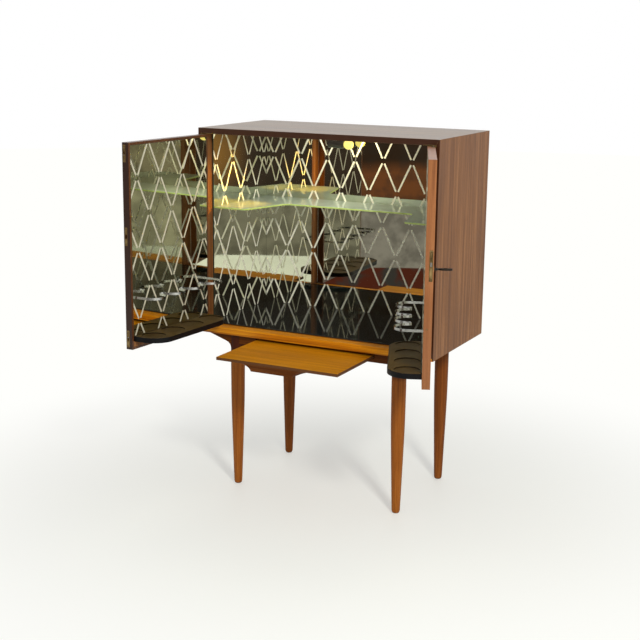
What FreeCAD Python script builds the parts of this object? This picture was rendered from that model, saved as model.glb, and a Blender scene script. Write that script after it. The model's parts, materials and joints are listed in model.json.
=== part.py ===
import FreeCAD, Part
import math
import os

# Bar cabinet on four turned legs, in millimetres, +Z up, front towards -Y.
# The cabinet is modelled about its own centre line with the floor at z = 0.
# The doors are built closed and the tray pushed in, then set as they stand at rest:
# doors open and tray drawn out. At the end the whole model moves sideways so that
# the origin is the centre of its bounding box on the floor.

Vector = FreeCAD.Vector

# Carcass
cabinet_width = 900.0
cabinet_depth = 470.0
carcass_height = 727.0
underside_height = 564.0
top_thickness = 20.0
bottom_thickness = 25.0
side_thickness = 15.0
back_thickness = 8.0
back_inset = 7.0
back_lap = 8.0

# Glass and mirrors
mirror_thickness = 5.0
floor_glass_thickness = 5.0
floor_glass_setback = 45.0
side_mirror_setback = 67.0
shelf_glass_thickness = 6.0
shelf_lift = 419.0
shelf_wing_setback = 75.0
shelf_wing_tip_width = 126.7
shelf_wing_root_width = 179.7
shelf_middle_depth = 172.7
shelf_recess_radius = 26.0
shelf_tip_radius = 14.0
shelf_pin_radius = 2.5
shelf_pin_reach = 12.0
shelf_pin_bore_depth = 8.0
shelf_pin_inset = 40.0

# Clearances and cutting
glass_gap = 0.3
joint_gap = 0.1
screw_gap = 0.05
cut_overrun = 2.0

# Legs, feet and rails
leg_inset_x = 135.0
leg_inset_y = 38.0
leg_radius = 25.0
leg_tenon_radius = 12.5
leg_tenon_height = 15.0
leg_height_shares = [0.012, 0.06, 0.12, 0.23, 0.34, 0.45, 0.56, 0.67, 0.78]
leg_radius_shares = [0.58, 0.62, 0.665, 0.74, 0.82, 0.895, 0.955, 0.985, 1.0]
leg_foot_radius_share = 0.50
glide_radius = 9.0
glide_thickness = 3.0
glide_pin_radius = 2.5
glide_pin_length = 12.0
rail_thickness = 20.0
rail_forward_shift = 10.0
front_rail_height = 34.0
side_rail_height = 24.0
rail_tenon_length = 14.0
rail_tenon_thickness = 8.0
rail_tenon_inset = 6.0
wing_side_margin = 22.0
wing_lip = 2.0
wing_shoulder_reach = 40.0
wing_shoulder_drop = 26.0
wing_foot_reach = 17.0
wing_foot_drop = 54.0

# Tray, its grip and its runners
tray_width_share = 0.5022
tray_back_gap = 9.0
tray_thickness = 10.5
tray_top_drop = 10.0
tray_front_proud = 5.0
tray_pull_share = 0.5888
tray_edge_round = 1.0
tray_slot_side_gap = 4.0
tray_slot_floor_gap = 1.5
grip_height = 22.5
grip_thickness = 18.0
grip_left_shift = 16.0
grip_front_shape = (200.0, 153.0, 3.2)
grip_back_shape = (280.0, 160.0, 2.0)
tray_lap = 11.0
runner_width = 25.0
runner_height = 30.0
runner_back_gap = 17.0
tray_side_gap = 0.5
tray_running_gap = 0.3
stop_pin_radius = 4.0
stop_pin_drop = 6.0
stop_pin_sink = 6.0
stop_pin_spread = 300.0
stop_pin_back_margin = 70.0

# Doors
left_open_degrees = 93.8
right_open_degrees = 112.5
door_core_thickness = 20.0
door_hinge_gap = 0.7
door_meeting_gap = 1.0
door_end_gap = 1.5
lipping_width = 8.5
door_shelf_thickness = 17.0
door_shelf_lift = 27.5
door_shelf_depth = 105.0
door_shelf_radius = 72.0
door_shelf_end_gap = 1.0
door_shelf_tongue = 5.0
door_shelf_tongue_inset = 4.0
inlay_thickness = 5.0
inlay_rim = 2.0
well_margin = 2.0
well_depth = 3.0

# Bottle holders
bottle_count = 4
bottle_reach = 45.0
holder_side_margin = 15.35
holder_throat_radius = 11.0
holder_strip_thickness = 1.5
holder_strip_height = 8.0
holder_lift = 174.5
holder_sink = 6.0
holder_slot_gap = 0.25

# Pivot hinges in the door corners
leaf_thickness = 2.5
leaf_length = 42.0
leaf_width = 12.0
leaf_eye_radius = 5.0
pivot_radius = 2.5
pivot_gap = 0.05
pivot_end_gap = 0.3
pivot_shoulder_radius = 4.0
pivot_shoulder_gap = 0.3
eye_relief_gap = 0.4
leaf_screw_places = [18.0, 34.0]
leaf_screw_line = 6.0

# Lock, key, bolts and their plates
edge_fitting_line = 8.0
plate_width = 11.0
plate_thickness = 1.5
lock_plate_length = 92.0
lock_plate_lift = 371.5
lock_case_height = 60.0
lock_case_depth = 34.0
lock_case_thickness = 10.0
lock_case_wall = 1.2
key_backset = 25.0
key_drop = 13.0
key_shank_radius = 3.0
key_shank_length = 18.0
key_shank_sink = 10.5
key_bow_length = 40.0
key_bow_width = 18.0
key_bow_thickness = 5.0
key_bow_hole_radius = 3.0
key_bow_overlap = 3.0
key_collar_radius = 4.5
key_collar_length = 4.0
key_collar_place = 6.0
key_bit_radius = 9.0
key_bit_thickness = 3.0
key_bit_start = 5.0
keyhole_gap = 0.3
escutcheon_radius = 9.0
escutcheon_thickness = 1.5
bolt_height = 12.0
bolt_thickness = 6.0
bolt_length = 31.5
bolt_lift = 11.0
bolt_travel = 8.0
bolt_fit_gap = 0.1
strike_plate_length = 60.0
strike_gap = 1.0
strike_depth = 9.0
flush_plate_length = 56.0
flush_plate_offset = 35.0
flush_rod_line = 10.5
flush_rod_radius = 2.5
flush_rod_gap = 0.1
flush_rod_sink = 0.5
flush_rod_length = 44.0
flush_knob_radius = 2.0
flush_knob_proud = 0.6
flush_travel = 10.0
flush_slot_gap = 0.5
plate_screw_margin = 6.0
buffer_radius = 2.5
buffer_proud = 0.5
buffer_sink = 6.0
buffer_lift = 183.0
buffer_line = 15.0

# Screws: head radius, shank radius, head height, whole length
hinge_screw = (3.0, 1.5, 1.6, 16.0)
plate_screw = (2.6, 1.3, 1.3, 12.0)
bolt_plate_screw = (2.6, 1.3, 1.3, 6.5)
back_screw = (3.0, 1.5, 1.6, 22.0)
rail_screw = (4.0, 2.0, 2.2, 42.0)
lamp_screw = (3.0, 1.5, 1.6, 12.0)
screw_tip_share = 0.15
back_screw_shares = [-0.35, 0.0, 0.35]
runner_screw_inset = 45.0
side_rail_screw_inset = 85.0

# Lamp under the top panel, close to the back mirror, and its cable outlet
lamp_back_gap = 50.0
lamp_axis_drop = 49.0
lamp_holder_left = -140.0
lamp_holder_length = 64.0
lamp_holder_radius = 14.0
lamp_ring_length = 28.0
lamp_ring_radius = 15.5
lamp_plate_thickness = 3.0
lamp_plate_length = 76.0
lamp_plate_width = 30.0
lamp_stem_length = 26.0
lamp_stem_width = 14.0
lamp_screw_inset = 8.0
bulb_radius = 18.0
bulb_neck_radius = 9.5
bulb_neck_sink = 14.0
bulb_neck_gap = 0.5
outlet_radius = 6.5
outlet_bore_radius = 3.5
outlet_flange_radius = 10.0
outlet_flange_thickness = 2.0
outlet_drop = 16.0

# Heights and half widths that follow
half_width = cabinet_width / 2
inner_half = half_width - side_thickness
front_y = -cabinet_depth / 2
back_y = cabinet_depth / 2
floor_z = underside_height + bottom_thickness
top_z = underside_height + carcass_height
ceiling_z = top_z - top_thickness
panel_back_y = back_y - back_inset
panel_front_y = panel_back_y - back_thickness
mirror_face_y = panel_front_y - mirror_thickness
glass_floor_z = floor_z + floor_glass_thickness
leg_x = half_width - leg_inset_x
leg_y = -front_y - leg_inset_y
rail_outer_y = leg_y + rail_forward_shift + rail_thickness / 2
rail_inner_y = rail_outer_y - rail_thickness
tray_top_z = underside_height - tray_top_drop
tray_bottom_z = tray_top_z - tray_thickness
tray_front_y = front_y - tray_front_proud
tray_back_y = rail_inner_y - tray_back_gap
tray_half = cabinet_width * tray_width_share / 2
tray_pulled_out = (tray_back_y - tray_front_y) * tray_pull_share
slot_half = tray_half + tray_slot_side_gap
runner_inner_half = tray_half - tray_lap
runner_back_y = rail_inner_y - runner_back_gap
stop_pin_y = tray_back_y - stop_pin_back_margin
door_reach = inner_half - door_meeting_gap
door_bottom_z = floor_z + door_end_gap
door_top_z = ceiling_z - door_end_gap
door_middle_z = (door_bottom_z + door_top_z) / 2
door_thickness = door_core_thickness + mirror_thickness
core_near = door_hinge_gap + lipping_width
core_far = door_reach - lipping_width
core_bottom_z = door_bottom_z + lipping_width
core_top_z = door_top_z - lipping_width
door_centre = (core_near + core_far) / 2
shelf_bottom_z = door_bottom_z + door_shelf_lift
shelf_top_z = shelf_bottom_z + door_shelf_thickness
bottle_line = door_thickness + bottle_reach
holder_z = door_bottom_z + holder_lift
holder_half_length = (door_reach - door_hinge_gap) / 2 - holder_side_margin
holder_bow_radius = (holder_half_length - holder_throat_radius * (bottle_count - 1)) / bottle_count
bottle_pitch = (holder_bow_radius + holder_throat_radius) * 2
well_radius = holder_bow_radius - well_margin
bottle_places = [door_centre + (i - (bottle_count - 1) / 2) * bottle_pitch
                 for i in range(bottle_count)]
lock_z = door_bottom_z + lock_plate_lift
key_s = door_reach - key_backset
key_z = lock_z - key_drop
bolt_bottom_z = key_z + bolt_lift
flush_s = door_reach - flush_rod_line
lamp_y = mirror_face_y - lamp_back_gap
lamp_z = ceiling_z - lamp_axis_drop
lamp_middle = lamp_holder_left + lamp_holder_length / 2
shelf_top_height = floor_z + shelf_lift


def box(x_range, y_range, z_range):
    """Box between low and high values along each axis."""
    low = Vector(x_range[0], y_range[0], z_range[0])
    return Part.makeBox(x_range[1] - x_range[0], y_range[1] - y_range[0],
                        z_range[1] - z_range[0], low)


def cylinder(radius, base, direction, length):
    """Round bar from a base point along a direction."""
    return Part.makeCylinder(radius, length, Vector(*base), Vector(*direction))


def outline_face(corners):
    """Flat face inside straight lines through the corners."""
    points = [Vector(*corner) for corner in corners]
    return Part.Face(Part.makePolygon(points + points[:1]))


def joined(shapes):
    """One solid from overlapping or touching shapes."""
    return shapes[0].multiFuse(shapes[1:]).removeSplitter()


def carved(shape, tools):
    """The shape with every tool cut away."""
    return shape.cut(tools) if tools else shape


def group(shapes):
    """Separate solids that share one node."""
    return Part.makeCompound([solid for shape in shapes for solid in shape.Solids])


def mirrored(shape):
    """The same shape on the other side of the centre plane."""
    return shape.mirror(Vector(0, 0, 0), Vector(1, 0, 0))


def front_to_back(shape):
    """The same shape at the back of the cabinet."""
    return shape.mirror(Vector(0, 0, 0), Vector(0, 1, 0))


def upside_down(shape):
    """The same shape at the other end of the door."""
    return shape.mirror(Vector(0, 0, door_middle_z), Vector(0, 0, 1))


def screw(head, direction, sizes, gap=0.0):
    """Countersunk screw with its head flush at a point; a gap makes its hole."""
    head_radius, shank_radius, head_height, length = sizes
    way = Vector(*direction)
    start = Vector(*head)
    tip_length = length * screw_tip_share
    shank_start = start + way * head_height
    tip_start = start + way * (length - tip_length)
    parts = [Part.makeCone(head_radius + gap, shank_radius + gap, head_height, start, way),
             Part.makeCylinder(shank_radius + gap, length - head_height - tip_length,
                               shank_start, way),
             Part.makeCone(shank_radius + gap, shank_radius / 2, tip_length + gap,
                           tip_start, way)]
    return joined(parts)


def screws(places, sizes, gap=0.0):
    """Screws of one size; places holds head points with their directions."""
    return [screw(head, direction, sizes, gap) for head, direction in places]


def hinge_leaf(length_way, start, gap=0.0):
    """Leaf of a pivot hinge about the origin, lying in z from zero upwards."""
    eye = cylinder(leaf_eye_radius + gap, (0, 0, 0), (0, 0, 1), leaf_thickness)
    ends = sorted((length_way * start, length_way * (leaf_length + gap)))
    plate = box(ends, (0, leaf_width + gap), (0, leaf_thickness))
    return joined([eye, plate])


def cabinet_leaf(side, gap=0.0):
    """Upper leaf let into the top panel, with its pin hanging down."""
    leaf = hinge_leaf(-side, 0, gap)
    leaf.translate(Vector(side * inner_half, front_y, ceiling_z))
    if gap:
        return leaf
    shoulder_height = door_end_gap - pivot_shoulder_gap
    pin_length = door_end_gap + leaf_thickness - pivot_end_gap
    top = (side * inner_half, front_y, ceiling_z)
    shoulder = cylinder(pivot_shoulder_radius, top, (0, 0, -1), shoulder_height)
    pin = cylinder(pivot_radius, top, (0, 0, -1), pin_length)
    return joined([leaf, shoulder, pin])


def lower_copy(shape):
    """Copy of an upper fitting at the bottom of the door opening."""
    middle = (floor_z + ceiling_z) / 2
    return shape.mirror(Vector(0, 0, middle), Vector(0, 0, 1))


def cabinet_leaf_screw_places():
    """Head points of the screws through the leaves in the top and bottom panels."""
    places = []
    for side in (-1, 1):
        for reach in leaf_screw_places:
            x = side * (inner_half - reach)
            y = front_y + leaf_screw_line
            places.append(((x, y, ceiling_z), (0, 0, 1)))
            places.append(((x, y, floor_z), (0, 0, -1)))
    return places


def leaf_pockets():
    """Room for the leaves in the carcass and round their eyes."""
    tools = []
    for side in (-1, 1):
        leaf = cabinet_leaf(side, joint_gap)
        eye = cylinder(leaf_eye_radius + eye_relief_gap,
                       (side * inner_half, front_y, ceiling_z), (0, 0, -1),
                       door_end_gap + leaf_thickness + eye_relief_gap)
        tools += [leaf, lower_copy(leaf), eye, lower_copy(eye)]
    return tools


def shelf_pin_places():
    """Axis points of the shelf pins on the side walls."""
    front = front_y + shelf_wing_setback + shelf_pin_inset
    back = mirror_face_y - shelf_pin_inset
    z = shelf_top_height - shelf_glass_thickness - shelf_pin_radius
    return [(side, y, z) for side in (-1, 1) for y in (front, back)]


def shelf_pins(gap=0.0):
    """Round pins that carry the glass shelf."""
    pins = []
    for side, y, z in shelf_pin_places():
        wall = side * (inner_half - mirror_thickness - shelf_pin_reach)
        pins.append(cylinder(shelf_pin_radius + gap, (wall, y, z), (side, 0, 0),
                             shelf_pin_reach + mirror_thickness + shelf_pin_bore_depth))
    return pins


def flush_sockets():
    """Blind holes in the top and bottom panels for the left door's bolts."""
    x = -inner_half + flush_s
    y = front_y + edge_fitting_line
    depth = flush_travel + cut_overrun
    radius = flush_rod_radius + flush_slot_gap
    return [cylinder(radius, (x, y, ceiling_z), (0, 0, 1), depth),
            cylinder(radius, (x, y, floor_z), (0, 0, -1), depth)]


def back_screw_places():
    """Screws round the rim of the back panel."""
    rim_x = inner_half + back_lap / 2
    rim_low = floor_z - back_lap / 2
    rim_high = ceiling_z + back_lap / 2
    middle = (rim_low + rim_high) / 2
    points = [(side * rim_x, middle + (rim_high - rim_low) * place_share)
              for side in (-1, 1) for place_share in back_screw_shares]
    points += [(rim_x * 2 * place_share, z) for z in (rim_low, rim_high)
               for place_share in back_screw_shares]
    return [((x, panel_back_y, z), (0, -1, 0)) for x, z in points]


def underside_screw_places():
    """Screws that go up through the rails and runners into the bottom panel."""
    places = []
    runner_x = runner_inner_half + runner_width - (runner_width - runner_groove_depth()) / 2
    first_y = -rail_inner_y + runner_screw_inset
    last_y = runner_back_y - runner_screw_inset
    rail_x = (slot_half + leg_x - leg_radius) / 2
    for side in (-1, 1):
        for y in (first_y, (first_y + last_y) / 2, last_y):
            places.append(((side * runner_x, y, underside_height - runner_height), (0, 0, 1)))
        for step in (-1, 1):
            y = step * (leg_y - leg_radius - side_rail_screw_inset)
            places.append(((side * leg_x, y, underside_height - side_rail_height), (0, 0, 1)))
            y = step * (rail_outer_y - rail_thickness / 2)
            places.append(((side * rail_x, y, underside_height - front_rail_height), (0, 0, 1)))
    return places


def lamp_screw_places():
    """Screws through the lamp's plate into the top panel."""
    reach = lamp_plate_length / 2 - lamp_screw_inset
    z = ceiling_z - lamp_plate_thickness
    return [((lamp_middle + side * reach, lamp_y, z), (0, 0, 1)) for side in (-1, 1)]


def runner_groove_depth():
    """How far the tray's edge groove goes into a runner."""
    return tray_half + tray_side_gap - runner_inner_half


def carcass():
    """Top, bottom and side panels with mitred corners, and the back panel."""
    outer = [(-half_width, underside_height), (half_width, underside_height),
             (half_width, top_z), (-half_width, top_z)]
    inner = [(-inner_half, floor_z), (inner_half, floor_z),
             (inner_half, ceiling_z), (-inner_half, ceiling_z)]
    names = ["bottom_panel", "right_side_panel", "top_panel", "left_side_panel"]
    rebate = box((-inner_half - back_lap, inner_half + back_lap),
                 (panel_front_y, back_y + cut_overrun),
                 (floor_z - back_lap, ceiling_z + back_lap))
    tools = [rebate] + leaf_pockets() + shelf_pins(screw_gap) + flush_sockets()
    tools += screws(cabinet_leaf_screw_places(), hinge_screw, screw_gap)
    tools += screws(back_screw_places(), back_screw, screw_gap)
    tools += screws(underside_screw_places(), rail_screw, screw_gap)
    tools += screws(lamp_screw_places(), lamp_screw, screw_gap)
    tools += [cylinder(leg_tenon_radius + joint_gap,
                       (x, y, underside_height - cut_overrun), (0, 0, 1),
                       leg_tenon_height + joint_gap + cut_overrun)
              for x in (-leg_x, leg_x) for y in (-leg_y, leg_y)]
    nodes = {}
    for i, name in enumerate(names):
        after = (i + 1) % len(names)
        corners = [outer[i], outer[after], inner[after], inner[i]]
        face = outline_face([(x, front_y, z) for x, z in corners])
        panel = face.extrude(Vector(0, cabinet_depth, 0))
        near = [tool for tool in tools if panel.BoundBox.intersect(tool.BoundBox)]
        nodes[name] = carved(panel, near)
    back = box((-inner_half - back_lap + glass_gap, inner_half + back_lap - glass_gap),
               (panel_front_y, panel_back_y),
               (floor_z - back_lap + glass_gap, ceiling_z + back_lap - glass_gap))
    back_tools = screws(back_screw_places(), back_screw, screw_gap)
    back_tools.append(outlet_hole())
    nodes["back_panel"] = carved(back, back_tools)
    nodes["back_panel_screws"] = group(screws(back_screw_places(), back_screw))
    return nodes


def outlet_hole():
    """Hole for the cable outlet through the back panel and the back mirror."""
    start = (lamp_middle, mirror_face_y - cut_overrun, ceiling_z - outlet_drop)
    length = back_thickness + mirror_thickness + cut_overrun * 2
    return cylinder(outlet_radius + joint_gap, start, (0, 1, 0), length)


def cable_outlet():
    """Black bush that lines the hole behind the lamp."""
    z = ceiling_z - outlet_drop
    sleeve = cylinder(outlet_radius, (lamp_middle, mirror_face_y, z), (0, 1, 0),
                      back_thickness + mirror_thickness)
    flange = cylinder(outlet_flange_radius, (lamp_middle, panel_back_y, z), (0, 1, 0),
                      outlet_flange_thickness)
    bore = cylinder(outlet_bore_radius, (lamp_middle, mirror_face_y - cut_overrun, z),
                    (0, 1, 0), cabinet_depth)
    return carved(joined([sleeve, flange]), [bore])


def linings():
    """Back and side mirrors, black floor glass and the stepped glass shelf."""
    floor_front = front_y + floor_glass_setback
    floor = box((-inner_half + glass_gap, inner_half - glass_gap),
                (floor_front, mirror_face_y - glass_gap), (floor_z, glass_floor_z))
    back = box((-inner_half + glass_gap, inner_half - glass_gap),
               (mirror_face_y, panel_front_y), (floor_z, ceiling_z - glass_gap))
    side = box((inner_half - mirror_thickness, inner_half),
               (front_y + side_mirror_setback, mirror_face_y - glass_gap),
               (glass_floor_z, ceiling_z - glass_gap))
    pin_tools = shelf_pins(screw_gap)
    right = carved(side, pin_tools[2:])
    left = carved(mirrored(side), pin_tools[:2])
    return {"floor_glass": floor, "back_mirror": carved(back, [outlet_hole()]),
            "right_side_mirror": right, "left_side_mirror": left,
            "glass_shelf": glass_shelf(), "shelf_pins": group(shelf_pins())}


def glass_shelf():
    """Glass shelf whose middle steps back between two wings."""
    half = inner_half - mirror_thickness - glass_gap
    tip_y = front_y + shelf_wing_setback
    recess_y = mirror_face_y - glass_gap - shelf_middle_depth
    low = shelf_top_height - shelf_glass_thickness
    plate = box((-half, half), (tip_y, mirror_face_y - glass_gap), (low, shelf_top_height))
    back_half = half - shelf_wing_root_width
    front_half = half - shelf_wing_tip_width
    slope = (front_half - back_half) / (recess_y - tip_y)
    start_half = front_half + slope * cut_overrun
    corners = [(-start_half, tip_y - cut_overrun, low), (start_half, tip_y - cut_overrun, low),
               (back_half, recess_y, low), (-back_half, recess_y, low)]
    recess = outline_face(corners).extrude(Vector(0, 0, shelf_glass_thickness))
    inner_edges = [edge for edge in recess.Edges
                   if is_upright(edge) and abs(edge.CenterOfMass.y - recess_y) < cut_overrun]
    recess = recess.makeFillet(shelf_recess_radius, inner_edges)
    shelf = plate.cut(recess)
    tip_edges = [edge for edge in shelf.Edges
                 if is_upright(edge) and abs(edge.CenterOfMass.y - tip_y) < cut_overrun
                 and abs(edge.CenterOfMass.x) < half - cut_overrun]
    return shelf.makeFillet(shelf_tip_radius, tip_edges)


def is_upright(edge):
    """True for a straight edge along z."""
    bounds = edge.BoundBox
    return bounds.ZLength > bounds.XLength + bounds.YLength


def leg_blank(gap=0.0):
    """Straight upper part of a leg at its place front left, for cutting rails."""
    return cylinder(leg_radius + gap, (-leg_x, -leg_y, 0), (0, 0, 1), underside_height)


def tenon(x_range, y_range, height, gap=0.0):
    """Flat tenon of a rail, set in from the rail's top and bottom edges."""
    high = underside_height - rail_tenon_inset + gap
    low = underside_height - height + rail_tenon_inset - gap
    return box((x_range[0] - gap, x_range[1] + gap), (y_range[0] - gap, y_range[1] + gap),
               (low, high))


def front_left_tenons(gap=0.0):
    """The two tenons that enter the front left leg."""
    rail_mid_y = -rail_outer_y + rail_thickness / 2
    half = rail_tenon_thickness / 2
    start = leg_radius - rail_tenon_length
    along_x = tenon((-leg_x + start, -leg_x + leg_radius + joint_gap),
                    (rail_mid_y - half, rail_mid_y + half), front_rail_height, gap)
    along_y = tenon((-leg_x - half, -leg_x + half),
                    (-leg_y + start, -leg_y + leg_radius + joint_gap), side_rail_height, gap)
    return along_x, along_y


def leg():
    """Turned leg at front left: straight at the top, tapering in a slow curve."""
    length = underside_height - glide_thickness
    points = [Vector(leg_radius * radius_share, 0, glide_thickness + length * height_share)
              for height_share, radius_share in zip(leg_height_shares, leg_radius_shares)]
    curve = Part.BSplineCurve()
    curve.interpolate(points)
    foot = Vector(0, 0, glide_thickness)
    toe = Vector(leg_radius * leg_foot_radius_share, 0, glide_thickness)
    shoulder = Vector(leg_radius, 0, underside_height)
    collar = Vector(leg_tenon_radius, 0, underside_height)
    neck = Vector(leg_tenon_radius, 0, underside_height + leg_tenon_height)
    end = Vector(0, 0, neck.z)
    edges = [Part.makeLine(foot, toe), Part.makeLine(toe, points[0]), curve.toShape(),
             Part.makeLine(points[-1], shoulder),
             Part.makeLine(shoulder, collar), Part.makeLine(collar, neck),
             Part.makeLine(neck, end), Part.makeLine(end, foot)]
    solid = Part.Face(Part.Wire(edges)).revolve(Vector(0, 0, 0), Vector(0, 0, 1), 360)
    solid.translate(Vector(-leg_x, -leg_y, 0))
    pin = cylinder(glide_pin_radius + screw_gap, (-leg_x, -leg_y, 0), (0, 0, 1),
                   glide_thickness + glide_pin_length + screw_gap)
    return carved(solid, list(front_left_tenons(joint_gap)) + [pin])


def wing():
    """Coved bracket outside the front left leg, under the bottom panel."""
    outer_x = -half_width + wing_side_margin
    lip_z = underside_height - wing_lip
    shoulder = Vector(-leg_x - wing_shoulder_reach, 0, underside_height - wing_shoulder_drop)
    foot = Vector(-leg_x - wing_foot_reach, 0, underside_height - wing_foot_drop)
    lip = Vector(outer_x, 0, lip_z)
    slope = (shoulder - lip).normalize()
    start = Vector(-leg_x, 0, underside_height)
    corner = Vector(outer_x, 0, underside_height)
    under = Vector(-leg_x, 0, foot.z)
    cove = Part.BSplineCurve()
    cove.interpolate(Points=[shoulder, foot], InitialTangent=slope,
                     FinalTangent=Vector(0, 0, -1))
    edges = [Part.makeLine(start, corner), Part.makeLine(corner, lip),
             Part.makeLine(lip, shoulder), cove.toShape(),
             Part.makeLine(foot, under), Part.makeLine(under, start)]
    solid = Part.Face(Part.Wire(edges)).extrude(Vector(0, rail_thickness, 0))
    solid.translate(Vector(0, -rail_outer_y, 0))
    return carved(solid, [leg_blank(joint_gap)])


def base():
    """Legs with their glides, the four rails and the corner wings."""
    first = leg()
    glide = joined([cylinder(glide_radius, (-leg_x, -leg_y, 0), (0, 0, 1), glide_thickness),
                    cylinder(glide_pin_radius, (-leg_x, -leg_y, 0), (0, 0, 1),
                             glide_thickness + glide_pin_length)])
    corner_wing = wing()
    along_x, along_y = front_left_tenons()
    rail_low = underside_height - front_rail_height
    tenons = [along_x, mirrored(along_x)]
    front = box((-leg_x, leg_x), (-rail_outer_y, -rail_inner_y), (rail_low, underside_height))
    leg_cuts = [leg_blank(joint_gap), mirrored(leg_blank(joint_gap))]
    rail_tools = screws(underside_screw_places(), rail_screw, screw_gap)
    plain = joined([carved(front, leg_cuts)] + tenons)
    slot = box((-slot_half, slot_half), (-rail_outer_y - cut_overrun, 0),
               (tray_bottom_z - tray_slot_floor_gap, underside_height + cut_overrun))
    side = box((-leg_x - rail_thickness / 2, -leg_x + rail_thickness / 2), (-leg_y, leg_y),
               (underside_height - side_rail_height, underside_height))
    side_cuts = [leg_blank(joint_gap), front_to_back(leg_blank(joint_gap))]
    side = joined([carved(side, side_cuts), along_y, front_to_back(along_y)])
    nodes = {"front_left_leg": first, "front_right_leg": mirrored(first),
             "back_left_leg": front_to_back(first),
             "back_right_leg": front_to_back(mirrored(first)),
             "foot_glides": group(four_corners(glide)),
             "front_rail": carved(plain, [slot] + rail_tools),
             "back_rail": carved(front_to_back(plain), rail_tools),
             "left_rail": carved(side, rail_tools),
             "right_rail": carved(mirrored(side), rail_tools),
             "corner_wings": group(four_corners(corner_wing)),
             "underside_screws": group(screws(underside_screw_places(), rail_screw))}
    return nodes


def four_corners(shape):
    """The shape at all four legs."""
    pair = [shape, mirrored(shape)]
    return pair + [front_to_back(one) for one in pair]


def runner():
    """Grooved runner that carries the tray's left edge."""
    outer_x = -runner_inner_half - runner_width
    y_range = (-rail_inner_y, runner_back_y)
    bar = box((outer_x, -runner_inner_half), y_range,
              (underside_height - runner_height, underside_height))
    groove = box((-runner_inner_half - runner_groove_depth(), 0),
                 (y_range[0] - cut_overrun, y_range[1] + cut_overrun),
                 (tray_bottom_z - tray_running_gap, tray_top_z + tray_running_gap))
    return carved(bar, [groove] + screws(underside_screw_places(), rail_screw, screw_gap))


def grip_outline(shape, y):
    """Closed outline of the grip: straight top and bottom, coved ends."""
    top_length, bottom_length, cove = shape
    low = tray_bottom_z - grip_height
    run = (top_length - bottom_length) / 2
    steep = math.atan2(grip_height, run)
    middle_x = (top_length + bottom_length) / 4 - cove * math.sin(steep)
    middle_z = (tray_bottom_z + low) / 2 + cove * math.cos(steep)
    corners = [Vector(-top_length / 2, y, tray_bottom_z),
               Vector(top_length / 2, y, tray_bottom_z),
               Vector(bottom_length / 2, y, low), Vector(-bottom_length / 2, y, low)]
    right = Part.Arc(corners[1], Vector(middle_x, y, middle_z), corners[2]).toShape()
    left = Part.Arc(corners[3], Vector(-middle_x, y, middle_z), corners[0]).toShape()
    return Part.Wire([Part.makeLine(corners[0], corners[1]), right,
                      Part.makeLine(corners[2], corners[3]), left])


def grip():
    """Finger grip under the tray's front edge, wider at its back."""
    front = grip_outline(grip_front_shape, tray_front_y)
    back = grip_outline(grip_back_shape, tray_front_y + grip_thickness)
    solid = Part.makeLoft([front, back], True, True)
    solid.translate(Vector(-grip_left_shift, 0, 0))
    return solid


def tray():
    """Sliding tray board with its grip and the pins that stop it."""
    board = box((-tray_half, tray_half), (tray_front_y, tray_back_y),
                (tray_bottom_z, tray_top_z))
    long_edges = [edge for edge in board.Edges
                  if edge.BoundBox.YMax < tray_front_y + cut_overrun and not is_upright(edge)]
    board = board.makeFillet(tray_edge_round, long_edges)
    pins = []
    for side in (-1, 1):
        base_point = (side * stop_pin_spread / 2, stop_pin_y, tray_bottom_z - stop_pin_drop)
        pins.append((base_point, stop_pin_drop + stop_pin_sink))
    holes = [cylinder(stop_pin_radius + screw_gap, base_point, (0, 0, 1), length + screw_gap)
             for base_point, length in pins]
    solids = [cylinder(stop_pin_radius, base_point, (0, 0, 1), length)
              for base_point, length in pins]
    return {"tray_board": carved(board, holes), "tray_grip": grip(),
            "tray_stop_pins": group(solids)}


def lamp():
    """Black lamp holder on a small plate, its ring and its round bulb."""
    right = lamp_holder_left + lamp_holder_length
    plate = box((lamp_middle - lamp_plate_length / 2, lamp_middle + lamp_plate_length / 2),
                (lamp_y - lamp_plate_width / 2, lamp_y + lamp_plate_width / 2),
                (ceiling_z - lamp_plate_thickness, ceiling_z))
    stem = box((lamp_middle - lamp_stem_length / 2, lamp_middle + lamp_stem_length / 2),
               (lamp_y - lamp_stem_width / 2, lamp_y + lamp_stem_width / 2),
               (lamp_z, ceiling_z - lamp_plate_thickness))
    body = cylinder(lamp_holder_radius, (lamp_holder_left, lamp_y, lamp_z), (1, 0, 0),
                    lamp_holder_length)
    bracket = carved(joined([plate, stem]), [body] + screws(lamp_screw_places(), lamp_screw,
                                                          screw_gap))
    ring = cylinder(lamp_ring_radius, (right - lamp_ring_length, lamp_y, lamp_z), (1, 0, 0),
                    lamp_ring_length)
    bore = cylinder(bulb_neck_radius + bulb_neck_gap, (right - bulb_neck_sink, lamp_y, lamp_z),
                    (1, 0, 0), lamp_ring_length)
    holder = carved(joined([body, ring]), [bore, bracket])
    return {"lamp_bracket": bracket, "lamp_holder": holder, "lamp_bulb": bulb(right),
            "lamp_screws": group(screws(lamp_screw_places(), lamp_screw)),
            "cable_outlet": cable_outlet()}


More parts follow.
